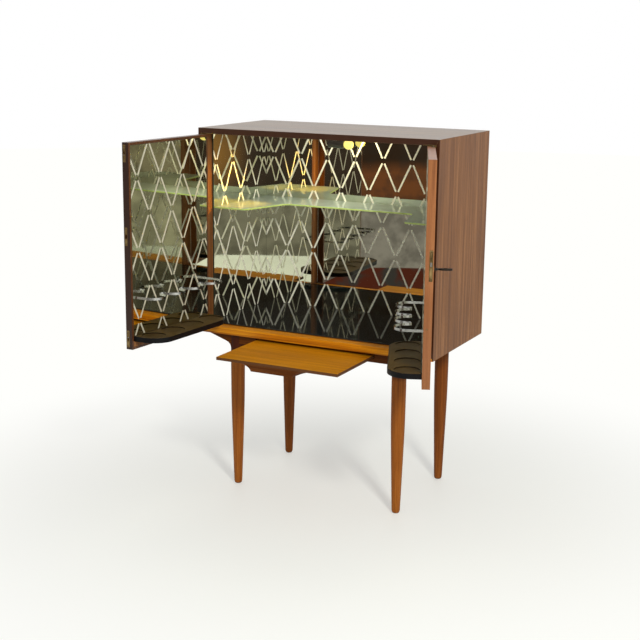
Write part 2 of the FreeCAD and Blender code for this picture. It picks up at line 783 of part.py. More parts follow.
def bulb(mouth_x):
    """Round bulb pointing to the right, its neck in the holder's mouth."""
    neck_start = Vector(mouth_x - bulb_neck_sink, 0, 0)
    neck_reach = math.sqrt(bulb_radius ** 2 - bulb_neck_radius ** 2)
    centre_x = mouth_x + neck_reach
    rim = Vector(mouth_x, bulb_neck_radius, 0)
    top = Vector(centre_x, bulb_radius, 0)
    nose = Vector(centre_x + bulb_radius, 0, 0)
    edges = [Part.makeLine(neck_start, neck_start + Vector(0, bulb_neck_radius, 0)),
             Part.makeLine(neck_start + Vector(0, bulb_neck_radius, 0), rim),
             Part.Arc(rim, top, nose).toShape(), Part.makeLine(nose, neck_start)]
    solid = Part.Face(Part.Wire(edges)).revolve(Vector(0, 0, 0), Vector(1, 0, 0), 360)
    solid.translate(Vector(0, lamp_y, lamp_z))
    return solid


# Doors are drawn about the left hinge pin: x runs from the pin to the free edge,
# y from the outer face inwards. The right door is the mirror image.


def door_leaf(gap=0.0):
    """Upper leaf let into the door's top edge, with the hole for the pin."""
    leaf = hinge_leaf(1, door_hinge_gap, gap)
    leaf.translate(Vector(0, 0, door_top_z - leaf_thickness))
    if gap:
        return leaf
    hole = cylinder(pivot_radius + pivot_gap, (0, 0, door_top_z - door_thickness), (0, 0, 1),
                    door_thickness * 2)
    return carved(leaf, [hole])


def leaf_pair(shape):
    """Upper leaf and its copy at the foot of the door."""
    return [shape, upside_down(shape)]


def door_leaf_screws(gap=0.0):
    """Screws through both leaves into the door."""
    upper = screws([((reach, leaf_screw_line, door_top_z), (0, 0, -1))
                    for reach in leaf_screw_places], hinge_screw, gap)
    return upper + [upside_down(one) for one in upper]


def holder_path():
    """Places and turning ways of the arcs that make the holder's bows and throats."""
    arcs = []
    for place in bottle_places:
        arcs.append((place, holder_bow_radius, 1))
        arcs.append((place + bottle_pitch / 2, holder_throat_radius, -1))
    return arcs[:-1]


def holder_outline(offset):
    """One long side of the holder's strip, offset outwards from its middle line."""
    edges = []
    for place, radius, way in holder_path():
        reach = radius + way * offset
        start = Vector(place - reach, bottle_line, 0)
        crown = Vector(place, bottle_line + way * reach, 0)
        end = Vector(place + reach, bottle_line, 0)
        edges.append(Part.Arc(start, crown, end).toShape())
    return edges


def bottle_holder():
    """Flat strip bent into four bows that keep bottles on the door shelf."""
    half = holder_strip_thickness / 2
    root = door_core_thickness - holder_sink
    outer = holder_outline(half)
    inner = holder_outline(-half)
    left_edge = bottle_places[0] - holder_bow_radius
    right_edge = bottle_places[-1] + holder_bow_radius
    corners = [(left_edge - half, bottle_line), (left_edge - half, root),
               (left_edge + half, root), (left_edge + half, bottle_line)]
    ends = [(right_edge - half, bottle_line), (right_edge - half, root),
            (right_edge + half, root), (right_edge + half, bottle_line)]
    edges = outer + inner
    for points in (corners, ends):
        for a, b in zip(points, points[1:]):
            edges.append(Part.makeLine(Vector(*a, 0), Vector(*b, 0)))
    wire = Part.Wire(Part.__sortEdges__(edges))
    solid = Part.Face(wire).extrude(Vector(0, 0, holder_strip_height))
    solid.translate(Vector(0, 0, holder_z - holder_strip_height / 2))
    return solid


def holder_slots(gap):
    """Slots for the two ends of the bottle holder."""
    half = holder_strip_thickness / 2 + gap
    places = (bottle_places[0] - holder_bow_radius, bottle_places[-1] + holder_bow_radius)
    return [box((place - half, place + half), (door_core_thickness - holder_sink - gap,
                                               door_thickness + cut_overrun),
                (holder_z - holder_strip_height / 2 - gap,
                 holder_z + holder_strip_height / 2 + gap)) for place in places]


def shelf_outline(inset, low, high, start_y):
    """Shelf plate with two large rounded corners, drawn in by an inset."""
    near = core_near + door_shelf_end_gap + inset
    far = core_far - door_shelf_end_gap - inset
    reach = door_thickness + door_shelf_depth - inset
    plate = box((near, far), (start_y, reach), (low, high))
    corners = [edge for edge in plate.Edges
               if is_upright(edge) and abs(edge.CenterOfMass.y - reach) < cut_overrun / 2]
    return plate.makeFillet(door_shelf_radius - inset, corners)


def door_shelf():
    """Black shelf housed in the door, hollowed for its inlay."""
    plate = shelf_outline(0, shelf_bottom_z, shelf_top_z, door_core_thickness)
    margin = door_shelf_tongue
    tongue = box((core_near + margin, core_far - margin),
                 (door_core_thickness - door_shelf_tongue, door_core_thickness),
                 (shelf_bottom_z + door_shelf_tongue_inset, shelf_top_z - door_shelf_tongue_inset))
    hollow = shelf_outline(inlay_rim, shelf_top_z - inlay_thickness, shelf_top_z + cut_overrun,
                           door_thickness + inlay_rim)
    return carved(joined([plate, tongue]), [hollow])


def shelf_inlay():
    """Inlay of the door shelf with a round well for each bottle."""
    gap = screw_gap
    plate = shelf_outline(inlay_rim + gap, shelf_top_z - inlay_thickness, shelf_top_z,
                          door_thickness + inlay_rim + gap)
    wells = [cylinder(well_radius, (place, bottle_line, shelf_top_z - well_depth), (0, 0, 1),
                      well_depth + cut_overrun) for place in bottle_places]
    return carved(plate, wells)


def tongue_housing():
    """Groove in the door for the shelf's tongue."""
    margin = door_shelf_tongue - joint_gap
    inset = door_shelf_tongue_inset - joint_gap
    return box((core_near + margin, core_far - margin),
               (door_core_thickness - door_shelf_tongue - joint_gap,
                door_core_thickness + cut_overrun),
               (shelf_bottom_z + inset, shelf_top_z - inset))


def lipping():
    """Four mitred strips round the door's edge."""
    outer = [(door_hinge_gap, door_bottom_z), (door_reach, door_bottom_z),
             (door_reach, door_top_z), (door_hinge_gap, door_top_z)]
    inner = [(core_near, core_bottom_z), (core_far, core_bottom_z),
             (core_far, core_top_z), (core_near, core_top_z)]
    strips = []
    for i in range(len(outer)):
        after = (i + 1) % len(outer)
        corners = [outer[i], outer[after], inner[after], inner[i]]
        face = outline_face([(x, 0, z) for x, z in corners])
        strips.append(face.extrude(Vector(0, door_thickness, 0)))
    return strips


def edge_plate(length, middle_z, openings, sizes):
    """Screwed plate let flush into the door's free edge."""
    half = plate_width / 2
    plate = box((door_reach - plate_thickness, door_reach),
                (edge_fitting_line - half, edge_fitting_line + half),
                (middle_z - length / 2, middle_z + length / 2))
    holes = screws(plate_screw_places(length, middle_z), sizes, screw_gap)
    return carved(plate, openings + holes)


def plate_screw_places(length, middle_z):
    """Screws at both ends of a plate in the free edge."""
    reach = length / 2 - plate_screw_margin
    return [((door_reach, edge_fitting_line, middle_z + end * reach), (-1, 0, 0))
            for end in (-1, 1)]


def plate_pocket(length, middle_z):
    """Recess for a plate in the free edge."""
    half = plate_width / 2 + screw_gap
    reach = length / 2 + screw_gap
    return box((door_reach - plate_thickness, door_reach + cut_overrun),
               (edge_fitting_line - half, edge_fitting_line + half),
               (middle_z - reach, middle_z + reach))


def flush_knob_z():
    """Height of the upper flush bolt's knob when the bolt is drawn back."""
    return door_top_z - flush_plate_offset - flush_travel / 2


def flush_bolt():
    """Upper flush bolt: a rod with a knob that shows in its plate's slot."""
    rod = cylinder(flush_rod_radius,
                   (flush_s, edge_fitting_line, door_top_z - flush_rod_sink - flush_rod_length),
                   (0, 0, 1), flush_rod_length)
    knob = cylinder(flush_knob_radius, (flush_s, edge_fitting_line, flush_knob_z()), (1, 0, 0),
                    flush_rod_line + flush_knob_proud)
    return joined([rod, knob])


def flush_slot(reach, margin):
    """Straight room for the knob's travel, from the rod out to a reach."""
    half = flush_knob_radius + margin
    low = flush_knob_z()
    return joined([cylinder(half, (flush_s, edge_fitting_line, z), (1, 0, 0), reach)
                   for z in (low, low + flush_travel)]
                  + [box((flush_s, flush_s + reach),
                         (edge_fitting_line - half, edge_fitting_line + half),
                         (low, low + flush_travel))])


def flush_cavity():
    """Bore for the rod, from the door's end past the knob."""
    length = flush_rod_length + flush_rod_sink + joint_gap
    return cylinder(flush_rod_radius + flush_rod_gap,
                    (flush_s, edge_fitting_line, door_top_z - length), (0, 0, 1),
                    length + cut_overrun)


def left_edge_fittings():
    """Strike plate, flush bolts and their plates on the left door, with their room."""
    plate_z = door_top_z - flush_plate_offset
    opening = flush_slot(flush_rod_line + cut_overrun, flush_slot_gap)
    upper_plate = edge_plate(flush_plate_length, plate_z, [opening], bolt_plate_screw)
    bolt = flush_bolt()
    bolt_middle = bolt_bottom_z + bolt_height / 2
    mortise = box((door_reach - strike_depth, door_reach + cut_overrun),
                  (edge_fitting_line - bolt_thickness / 2 - strike_gap,
                   edge_fitting_line + bolt_thickness / 2 + strike_gap),
                  (bolt_bottom_z - strike_gap, bolt_bottom_z + bolt_height + strike_gap))
    strike = edge_plate(strike_plate_length, bolt_middle, [mortise], plate_screw)
    upper_room = [opening, flush_cavity(), plate_pocket(flush_plate_length, plate_z)]
    bolt_screw_places = (plate_screw_places(flush_plate_length, plate_z)
                         + plate_screw_places(flush_plate_length, 2 * door_middle_z - plate_z))
    strike_screw_places = plate_screw_places(strike_plate_length, bolt_middle)
    room = upper_room + [upside_down(one) for one in upper_room]
    room += [mortise, plate_pocket(strike_plate_length, bolt_middle)]
    room += screws(bolt_screw_places, bolt_plate_screw, screw_gap)
    room += screws(strike_screw_places, plate_screw, screw_gap)
    nodes = {"flush_bolt_plates": group([upper_plate, upside_down(upper_plate)]),
             "strike_plate": strike, "top_flush_bolt": bolt,
             "bottom_flush_bolt": upside_down(bolt)}
    plate_screws = (screws(bolt_screw_places, bolt_plate_screw)
                    + screws(strike_screw_places, plate_screw))
    return nodes, room, plate_screws


def keyhole(start, end, gap):
    """Round hole with the slot below it that lets the key's bit pass."""
    round_part = cylinder(key_shank_radius + gap, (key_s, start, key_z), (0, 1, 0), end - start)
    half = key_bit_thickness / 2 + gap
    slot = box((key_s - half, key_s + half), (start, end),
               (key_z - key_bit_radius - gap, key_z))
    return joined([round_part, slot])


def lock_case():
    """Hollow case of the lock, open towards its face plate."""
    near = door_reach - plate_thickness - lock_case_depth
    far = door_reach - plate_thickness
    low_y = edge_fitting_line - lock_case_thickness / 2
    high_y = edge_fitting_line + lock_case_thickness / 2
    low_z = lock_z - lock_case_height / 2
    high_z = lock_z + lock_case_height / 2
    wall = lock_case_wall
    shell = box((near, far), (low_y, high_y), (low_z, high_z))
    hollow = box((near + wall, far + cut_overrun), (low_y + wall, high_y - wall),
                 (low_z + wall, high_z - wall))
    hole = keyhole(low_y - cut_overrun, low_y + wall + cut_overrun, pivot_gap)
    return shell, carved(shell, [hollow, hole])


def lock_bolt(gap=0.0):
    """Square bolt drawn back level with the face plate."""
    half = bolt_thickness / 2 + gap
    return box((door_reach - bolt_length - gap, door_reach + (cut_overrun if gap else 0)),
               (edge_fitting_line - half, edge_fitting_line + half),
               (bolt_bottom_z - gap, bolt_bottom_z + bolt_height + gap))


def key():
    """Key in the lock: shank, collar, flat oval bow and bit."""
    length = key_shank_length + key_shank_sink
    shank = cylinder(key_shank_radius, (key_s, -key_shank_length, key_z), (0, 1, 0), length)
    collar = cylinder(key_collar_radius, (key_s, -key_collar_place - key_collar_length, key_z),
                      (0, 1, 0), key_collar_length)
    half = key_bow_thickness / 2
    bow_y = -key_shank_length - key_bow_length / 2 + key_bow_overlap
    bow = Part.makeCylinder(key_bow_width / 2, key_bow_thickness, Vector(0, 0, -half))
    hole = Part.makeCylinder(key_bow_hole_radius, key_bow_thickness, Vector(0, 0, -half))
    stretch = FreeCAD.Matrix()
    stretch.scale(1.0, key_bow_length / key_bow_width, 1.0)
    bow = bow.cut(hole).transformGeometry(stretch)
    bow.translate(Vector(key_s, bow_y, key_z))
    bit = box((key_s - key_bit_thickness / 2, key_s + key_bit_thickness / 2),
              (key_bit_start, key_shank_sink), (key_z - key_bit_radius, key_z))
    return joined([shank, collar, bow, bit])


def right_edge_fittings():
    """Lock with its plate, bolt, key and escutcheon, and the buffer stud."""
    aperture = lock_bolt(bolt_fit_gap)
    blank, case = lock_case()
    plate = edge_plate(lock_plate_length, lock_z, [aperture], plate_screw)
    outer_y = edge_fitting_line - lock_case_thickness / 2
    ring = cylinder(escutcheon_radius, (key_s, -escutcheon_thickness, key_z), (0, 1, 0),
                    escutcheon_thickness)
    way_in = keyhole(-escutcheon_thickness - cut_overrun, outer_y + cut_overrun, keyhole_gap)
    buffer_z = door_bottom_z + buffer_lift
    stud = cylinder(buffer_radius, (door_reach - buffer_sink, buffer_line, buffer_z), (1, 0, 0),
                    buffer_sink + buffer_proud)
    stud_hole = cylinder(buffer_radius + screw_gap,
                         (door_reach - buffer_sink - screw_gap, buffer_line, buffer_z),
                         (1, 0, 0), buffer_sink + cut_overrun)
    places = plate_screw_places(lock_plate_length, lock_z)
    room = [way_in, blank, plate_pocket(lock_plate_length, lock_z), stud_hole, aperture]
    room += screws(places, plate_screw, screw_gap)
    nodes = {"lock_face_plate": plate, "lock_case": case, "lock_bolt": lock_bolt(),
             "key": key(), "escutcheon": carved(ring, [way_in]), "buffer_stud": stud}
    return nodes, room, screws(places, plate_screw)


def door(side_name, edge_fittings):
    """Core, lipping, mirror, shelf, bottle holder, leaves and screws of one door."""
    fittings, room, plate_screws = edge_fittings
    core = box((core_near, core_far), (0, door_core_thickness), (core_bottom_z, core_top_z))
    apron = box((core_near, core_far), (door_core_thickness, door_thickness),
                (core_bottom_z, shelf_bottom_z))
    cuts = room + [tongue_housing()] + holder_slots(screw_gap)
    cuts += door_leaf_screws(screw_gap)
    panel = carved(joined([core, apron]), cuts)
    pockets = leaf_pair(door_leaf(joint_gap))
    strips = [carved(strip, pockets + room + door_leaf_screws(screw_gap))
              for strip in lipping()]
    mirror = box((core_near + glass_gap, core_far - glass_gap),
                 (door_core_thickness, door_thickness),
                 (shelf_top_z + glass_gap, core_top_z - glass_gap))
    pieces = {"door_panel": panel, "door_lipping": group(strips),
              "door_mirror": carved(mirror, holder_slots(holder_slot_gap)),
              "door_shelf": door_shelf(), "door_shelf_inlay": shelf_inlay(),
              "bottle_holder": bottle_holder(),
              "hinge_leaves": group(leaf_pair(door_leaf())),
              "door_screws": group(door_leaf_screws() + plate_screws)}
    named = {side_name + "_" + name: shape for name, shape in pieces.items()}
    named.update(fittings)
    return named


def opened(shape, side):
    """A door piece at rest: mirrored for the right door, then swung open."""
    placed = mirrored(shape) if side > 0 else shape.copy()
    angle = right_open_degrees if side > 0 else -left_open_degrees
    placed.rotate(Vector(0, 0, 0), Vector(0, 0, 1), angle)
    placed.translate(Vector(side * inner_half, front_y, 0))
    return placed


def cabinet_hinges():
    """The four leaves fixed in the carcass, with their pins, and their screws."""
    holes = screws(cabinet_leaf_screw_places(), hinge_screw, screw_gap)
    leaves = []
    for side in (-1, 1):
        upper = cabinet_leaf(side)
        leaves += [carved(upper, holes), carved(lower_copy(upper), holes)]
    return {"cabinet_hinge_leaves": group(leaves),
            "cabinet_hinge_screws": group(screws(cabinet_leaf_screw_places(), hinge_screw))}


def door_leaf_holes(pieces, side_name):
    """Cuts the leaf screws' holes in a door's leaves."""
    name = side_name + "_hinge_leaves"
    pieces[name] = group([carved(leaf, door_leaf_screws(screw_gap))
                          for leaf in pieces[name].Solids])


def assembly():
    """Every node in its rest place, about the cabinet's own centre line."""
    nodes = {}
    for part in (carcass(), linings(), base(), lamp(), cabinet_hinges()):
        nodes.update(part)
    left_runner = runner()
    nodes["tray_runners"] = group([left_runner, mirrored(left_runner)])
    for name, shape in tray().items():
        shape.translate(Vector(0, -tray_pulled_out, 0))
        nodes[name] = shape
    for side, side_name, fittings in ((-1, "left", left_edge_fittings()),
                                      (1, "right", right_edge_fittings())):
        pieces = door(side_name, fittings)
        door_leaf_holes(pieces, side_name)
        for name, shape in pieces.items():
            nodes[name] = opened(shape, side)
    return nodes


def centring_shift(nodes):
    """Sideways move that puts the bounding box's centre on the origin."""
    bounds = Part.makeCompound(list(nodes.values())).BoundBox
    return Vector(-bounds.Center.x, -bounds.Center.y, 0)


def main():
    """Builds the model and writes one STEP file per node."""
    os.makedirs("parts", exist_ok=True)
    nodes = assembly()
    shift = centring_shift(nodes)
    for name, shape in nodes.items():
        shape.translate(shift)
        shape.exportStep(os.path.join("parts", name + ".step"))
    print("nodes", len(nodes), "shift", tuple(round(value, 3) for value in shift))
    return nodes, shift


all_nodes, model_shift = main()
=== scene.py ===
"""Looks of the bar cabinet: timber, mirrors with their etched lattice, glass, fittings, light and camera."""

from __future__ import annotations

import json
import logging
import math
from dataclasses import dataclass, field
from enum import Enum

import bmesh
import bpy
from mathutils import Matrix, Vector

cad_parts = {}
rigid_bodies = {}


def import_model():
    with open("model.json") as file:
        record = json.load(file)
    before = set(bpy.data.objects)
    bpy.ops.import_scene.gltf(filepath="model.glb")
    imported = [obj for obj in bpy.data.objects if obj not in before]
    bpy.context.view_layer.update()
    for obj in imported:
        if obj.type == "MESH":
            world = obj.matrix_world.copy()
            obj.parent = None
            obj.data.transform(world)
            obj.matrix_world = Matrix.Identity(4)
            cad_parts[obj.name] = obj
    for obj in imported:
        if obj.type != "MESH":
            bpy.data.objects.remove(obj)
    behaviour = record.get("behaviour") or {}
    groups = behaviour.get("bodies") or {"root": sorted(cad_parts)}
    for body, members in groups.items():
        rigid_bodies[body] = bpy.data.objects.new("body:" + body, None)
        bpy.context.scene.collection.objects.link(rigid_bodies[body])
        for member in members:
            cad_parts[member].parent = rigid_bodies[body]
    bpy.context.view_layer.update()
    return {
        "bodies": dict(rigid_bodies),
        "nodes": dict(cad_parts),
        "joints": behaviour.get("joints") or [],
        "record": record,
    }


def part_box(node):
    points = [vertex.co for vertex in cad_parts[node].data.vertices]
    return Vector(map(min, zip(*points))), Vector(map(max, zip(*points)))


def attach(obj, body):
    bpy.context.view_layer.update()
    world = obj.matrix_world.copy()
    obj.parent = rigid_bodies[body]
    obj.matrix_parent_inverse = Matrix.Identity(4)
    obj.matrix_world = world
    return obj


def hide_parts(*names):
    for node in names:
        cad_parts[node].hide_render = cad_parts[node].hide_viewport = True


LOG = logging.getLogger("bar_cabinet")
Colour = tuple[float, float, float]
Socket = bpy.types.NodeSocket
Tree = bpy.types.NodeTree


class Grain(Enum):
    """The axis that the wood's fibres follow, and the two axes across it."""

    WIDTH = ("X", "Z", "Y")
    DEPTH = ("Y", "X", "Z")
    HEIGHT = ("Z", "X", "Y")


class Body(Enum):
    """The parts that move as one."""

    CABINET = "cabinet"
    LEFT_DOOR = "left_door"
    RIGHT_DOOR = "right_door"
    TRAY = "tray"
    KEY = "key"
    LOCK_BOLT = "lock_bolt"
    TOP_BOLT = "top_flush_bolt"
    BOTTOM_BOLT = "bottom_flush_bolt"


class Figure(Enum):
    """The noises that break up the finishes: cells per metre, octaves and the share of the finer ones."""

    MIRROR_WIPES = (9.0, 4.0, 0.6)
    MIRROR_SPECKS = (420.0, 2.0)
    ETCHED_GRIT = (1800.0, 2.0)
    ETCHED_CLOUD = (12.0, 2.0)
    GLASS_WIPES = (14.0, 4.0, 0.6)
    GLASS_DUST = (700.0, 1.0)
    SHELF_MARKS = (22.0, 3.0)
    PATINA = (55.0, 4.0, 0.62)
    COAT_CLOUD = (18.0, 3.0)
    INLAY_FLECK = (1200.0, 2.0)
    INLAY_CLOUD = (24.0, 3.0)
    FROST = (260.0, 2.0)
    FLOOR_PAINT = (1.6, 3.0)
    FLAG_CLOUD = (1.1, 3.0)
    FLAG_MOTTLE = (6.0, 5.0, 0.65)
    LOW_FOLDS = (7.0, 3.0)


class Hand(Enum):
    """Which side of the cabinet a door hangs on."""

    LEFT = -1
    RIGHT = 1


# Node trees


class Signal:
    """An output socket that takes part in arithmetic. Each sum adds a Math node."""

    def __init__(self, wiring: Wiring, socket: Socket) -> None:
        """Wraps a socket.

        Args:
            wiring: The tree that the socket belongs to.
            socket: The output socket.
        """
        self.wiring = wiring
        self.socket = socket

    def maths(self, operation: str, *others: Signal | float, first: Signal | float | None = None) -> Signal:
        """Adds one Math node.

        Args:
            operation: The Math node's operation.
            others: The operands after this one.
            first: An operand that comes before this one.

        Returns:
            The sum's own signal.
        """
        operands = ([] if first is None else [first]) + [self, *others]
        return Signal(self.wiring, self.wiring.out("ShaderNodeMath", {"operation": operation},
                                                   dict(enumerate(operands))))

    def __add__(self, other: Signal | float) -> Signal:
        """Sum."""
        return self.maths("ADD", other)

    def __radd__(self, other: float) -> Signal:
        """Sum with the number first."""
        return self.maths("ADD", other)

    def __sub__(self, other: Signal | float) -> Signal:
        """Difference."""
        return self.maths("SUBTRACT", other)

    def __rsub__(self, other: float) -> Signal:
        """Difference from a number."""
        return self.maths("SUBTRACT", first=other)

    def __mul__(self, other: Signal | float) -> Signal:
        """Product."""
        return self.maths("MULTIPLY", other)

    def __rmul__(self, other: float) -> Signal:
        """Product with the number first."""
        return self.maths("MULTIPLY", other)

    def __truediv__(self, other: Signal | float) -> Signal:
        """Quotient."""
        return self.maths("DIVIDE", other)

    def __rtruediv__(self, other: float) -> Signal:
        """Quotient of a number."""
        return self.maths("DIVIDE", first=other)

    def __abs__(self) -> Signal:
        """Size without sign."""
        return self.maths("ABSOLUTE")

    def smooth(self, low: float, high: float) -> Signal:
        """A soft step from 0 at low to 1 at high.

        Args:
            low: Where the step starts.
            high: Where it ends.

        Returns:
            The step.
        """
        return Signal(self.wiring, self.wiring.out("ShaderNodeMapRange", {"interpolation_type": "SMOOTHSTEP"},
                                                   {"Value": self, "From Min": low, "From Max": high}))


@dataclass
class Wiring:
    """Adds nodes to one tree and links them."""

    tree: Tree

    def add(self, kind: str, settings: dict | None = None, sockets: dict | None = None) -> bpy.types.Node:
        """Adds one node.

        Args:
            kind: The node's type.
            settings: The node's own settings, with a ramp's stops under "stops".
            sockets: A value, signal or socket for each input, by name or number.

        Returns:
            The node.
        """
        node = self.tree.nodes.new(kind)
        for name, value in (settings or {}).items():
            if name == "stops":
                self._set_stops(node.color_ramp, value)
            else:
                setattr(node, name, value)
        for name, value in (sockets or {}).items():
            self.feed(node.inputs[name], value)
        return node

    def out(self, kind: str, settings: dict | None = None, sockets: dict | None = None) -> Socket:
        """Adds one node and gives its first output."""
        return self.add(kind, settings, sockets).outputs[0]

    def point(self, x: Signal | float = 0.0, y: Signal | float = 0.0, z: Signal | float = 0.0) -> Socket:
        """Joins three signals into a vector."""
        return self.out("ShaderNodeCombineXYZ", sockets={0: x, 1: y, 2: z})

    def feed(self, target: Socket, value: object) -> None:
        """Gives an input socket a value or a link.

        Args:
            target: The input socket.
            value: A signal, an output socket or a plain value.
        """
        if isinstance(value, Signal):
            value = value.socket
        if isinstance(value, Socket):
            self.tree.links.new(value, target)
        elif target.type == "RGBA" and len(value) == 3:
            target.default_value = (*value, 1.0)
        else:
            target.default_value = value

    @staticmethod
    def _set_stops(ramp: bpy.types.ColorRamp, stops: list[tuple[float, Colour]]) -> None:
        """Places a colour ramp's stops.

        Args:
            ramp: The ramp.
            stops: Each stop's place and colour.
        """
        while len(ramp.elements) < len(stops):
            ramp.elements.new(1.0)
        for element, (place, colour) in zip(ramp.elements, stops):
            element.position = place
            element.color = (*colour, 1.0)


@dataclass
class Recipe(Wiring):
    """One material's tree, with the few nodes that every finish uses."""

    material: bpy.types.Material = None

    @classmethod
    def named(cls, name: str) -> Recipe:
        """Starts a material.

        Args:
            name: The material's name.

        Returns:
            The recipe, whose tree is empty.
        """
        material = bpy.data.materials.new(name)
        material.use_nodes = True
        material.node_tree.nodes.clear()
        return cls(material.node_tree, material)

    def place(self) -> Socket:
        """The point on the object, in metres."""
        return self.add("ShaderNodeTexCoord").outputs["Object"]

    def facing(self) -> Socket:
        """The way the surface faces, in the object's own axes."""
        return self.add("ShaderNodeTexCoord").outputs["Normal"]

    def parts(self, vector: Socket) -> dict[str, Signal]:
        """Splits a vector.

        Args:
            vector: The vector.

        Returns:
            Its three signals, by axis.
        """
        node = self.add("ShaderNodeSeparateXYZ", sockets={0: vector})
        return {axis: Signal(self, node.outputs[axis]) for axis in "XYZ"}

    def mark(self, name: str) -> Signal:
        """A mark, 0 or 1, that a piece carries on its faces."""
        return Signal(self, self.add("ShaderNodeAttribute", {"attribute_name": name}).outputs["Fac"])

    def noise(self, vector: Socket, scale: float, detail: float = 2.0, roughness: float = 0.5) -> Signal:
        """Soft noise between 0 and 1.

        Args:
            vector: The point to read.
            scale: Cells per metre.
            detail: Octaves.
            roughness: Share of the finer octaves.

        Returns:
            The noise.
        """
        return Signal(self, self.out("ShaderNodeTexNoise", sockets={
            "Vector": vector, "Scale": scale, "Detail": detail, "Roughness": roughness}))

    def figure(self, figure: Figure) -> Signal:
        """One of the finishes' noises, read on the object."""
        return self.noise(self.place(), *figure.value)

    def ramp(self, value: Signal, stops: list[tuple[float, Colour]]) -> Socket:
        """A colour ramp over a signal."""
        return self.out("ShaderNodeValToRGB", {"stops": stops}, {0: value})

    def blend(self, share: Signal | float, a: object, b: object, kind: str = "MIX") -> Socket:
        """Mixes two colours.

        Args:
            share: How much of the second.
            a: The first colour.
            b: The second colour.
            kind: The Mix node's blend type.

        Returns:
            The mixed colour.
        """
        node = self.add("ShaderNodeMix", {"data_type": "RGBA", "blend_type": kind}, {0: share, 6: a, 7: b})
        return node.outputs[2]

    def bump(self, height: Signal, distance: float, strength: float = 1.0) -> Socket:
        """Relief from a height signal, whose full height is distance metres."""
        return self.out("ShaderNodeBump", sockets={
            "Height": height, "Distance": distance, "Strength": strength})

    def surface(self, **sockets: object) -> bpy.types.Material:
        """Ends the tree in a Principled shader.

        Args:
            sockets: Its inputs, with underscores for spaces.

        Returns:
            The finished material.
        """
        named = {name.replace("_", " "): value for name, value in sockets.items()}
        return self.ended(self.out("ShaderNodeBsdfPrincipled", sockets=named))

    def ended(self, shader: Socket) -> bpy.types.Material:
        """Ends the tree in a shader of any kind."""
        self.add("ShaderNodeOutputMaterial", sockets={0: shader})
        return self.material


# Finishes


def scaled(colour: Colour, share: float, lift: float = 0.0) -> Colour:
    """A colour made darker or lighter, held below white."""
    return tuple(min(1.0, part * share + lift) for part in colour)


@dataclass(frozen=True)
class Timber:
    """Oiled teak, or another wood, with growth bands, fibres and open pores along its grain. Some finishes
    also carry painted shade: a dark edge colour on the faces that face one way, and a darkening over a span
    of heights.
    """

    name: str
    grain: Grain
    dark: Colour
    middle: Colour
    pale: Colour
    band_width: float = 0.014
    roughness: float = 0.46
    coat: float = 0.0
    gloss: float = 0.25
    contrast: float = 0.10
    edge: Colour | None = None
    edge_faces: tuple[str, ...] = ("+Y", "-Y")
    # Painted shade: the heights between which the wood darkens towards the shade colour, and how far it
    # darkens.
    shade_span: tuple[float, float] | None = None
    shade: Colour = (0.042, 0.006, 0.001)
    shade_share: float = 0.97
    pore_depth: float = 0.00012
    pore_share: float = 0.55
    wear_share: float = 0.5
    band_stretch: float = 0.5
    band_bend: float = 0.05

    # Each layer of the figure: cells per metre along and across the grain, octaves, share of the finer ones.
    LAYERS = {"drift": (1.3, 5.0, 2.0, 0.5), "streaks": (3.0, 240.0, 2.0, 0.6),
              "fibres": (16.0, 900.0, 2.0, 0.5), "pores": (120.0, 2600.0, 1.0, 0.5),
              "clouds": (2.0, 7.0, 2.0, 0.5)}
    BANDS = (1.0, 3.0, 0.6)

    def material(self) -> bpy.types.Material:
        """Builds the material.

        Returns:
            The finished material.
        """
        r = Recipe.named(self.name)
        xyz = r.parts(r.place())
        along, across, depth = (xyz[a] for a in self.grain.value)
        drift, streaks, fibres, pores, clouds = (
            r.noise(r.point(along * length, across * width, depth * width), 1.0, detail, finer)
            for length, width, detail, finer in self.LAYERS.values())
        pores = pores.smooth(0.62, 0.72)
        bent = (across + drift * self.band_bend) / self.band_width
        bands = r.noise(r.point(along * self.band_stretch, bent, depth / self.band_width), *self.BANDS)
        tone = bands * 0.42 + streaks * 0.30 + fibres * 0.12 + clouds * 0.16
        colour = r.ramp(tone, [(0.5 - self.contrast, self.dark), (0.5, self.middle),
                               (0.5 + self.contrast, self.pale)])
        colour = r.blend(pores * self.pore_share, colour, scaled(self.dark, 0.35))
        worn = r.mark("edge_wear") * clouds.smooth(0.42, 0.62) * self.wear_share
        colour = r.blend(worn, colour, scaled(self.pale, 1.5))
        # The edge colour on the chosen faces. On the top and the sides it is painted shade on their front and
        # back faces, and on the left lipping painted shade on its front face; on the bottom panel and the
        # tray it is the edges' own darker tone.
        if self.edge is not None:
            faces = r.parts(r.facing())
            edge_tone_and_painted_shade = r.blend(bands * 0.7, self.edge, scaled(self.edge, 1.7))
            for sign, axis in self.edge_faces:
                colour = r.blend((faces[axis] * float(sign + "1")).smooth(0.5, 0.8), colour, edge_tone_and_painted_shade)
        # Painted shade: the wood darkens over the span of heights, standing in for the shadow under the
        # cabinet on the legs and low on the right door's lipping.
        if self.shade_span is not None:
            colour = r.blend(xyz["Z"].smooth(*self.shade_span) * self.shade_share, colour, self.shade)
        return r.surface(Base_Color=colour, Roughness=self.roughness + (clouds - 0.5) * 0.16 + pores * 0.2,
                         Coat_Weight=self.coat, Coat_Roughness=0.28, Specular_IOR_Level=self.gloss,
                         Normal=r.bump(fibres * 0.4 + bands * 0.4 - pores, self.pore_depth, 0.7))


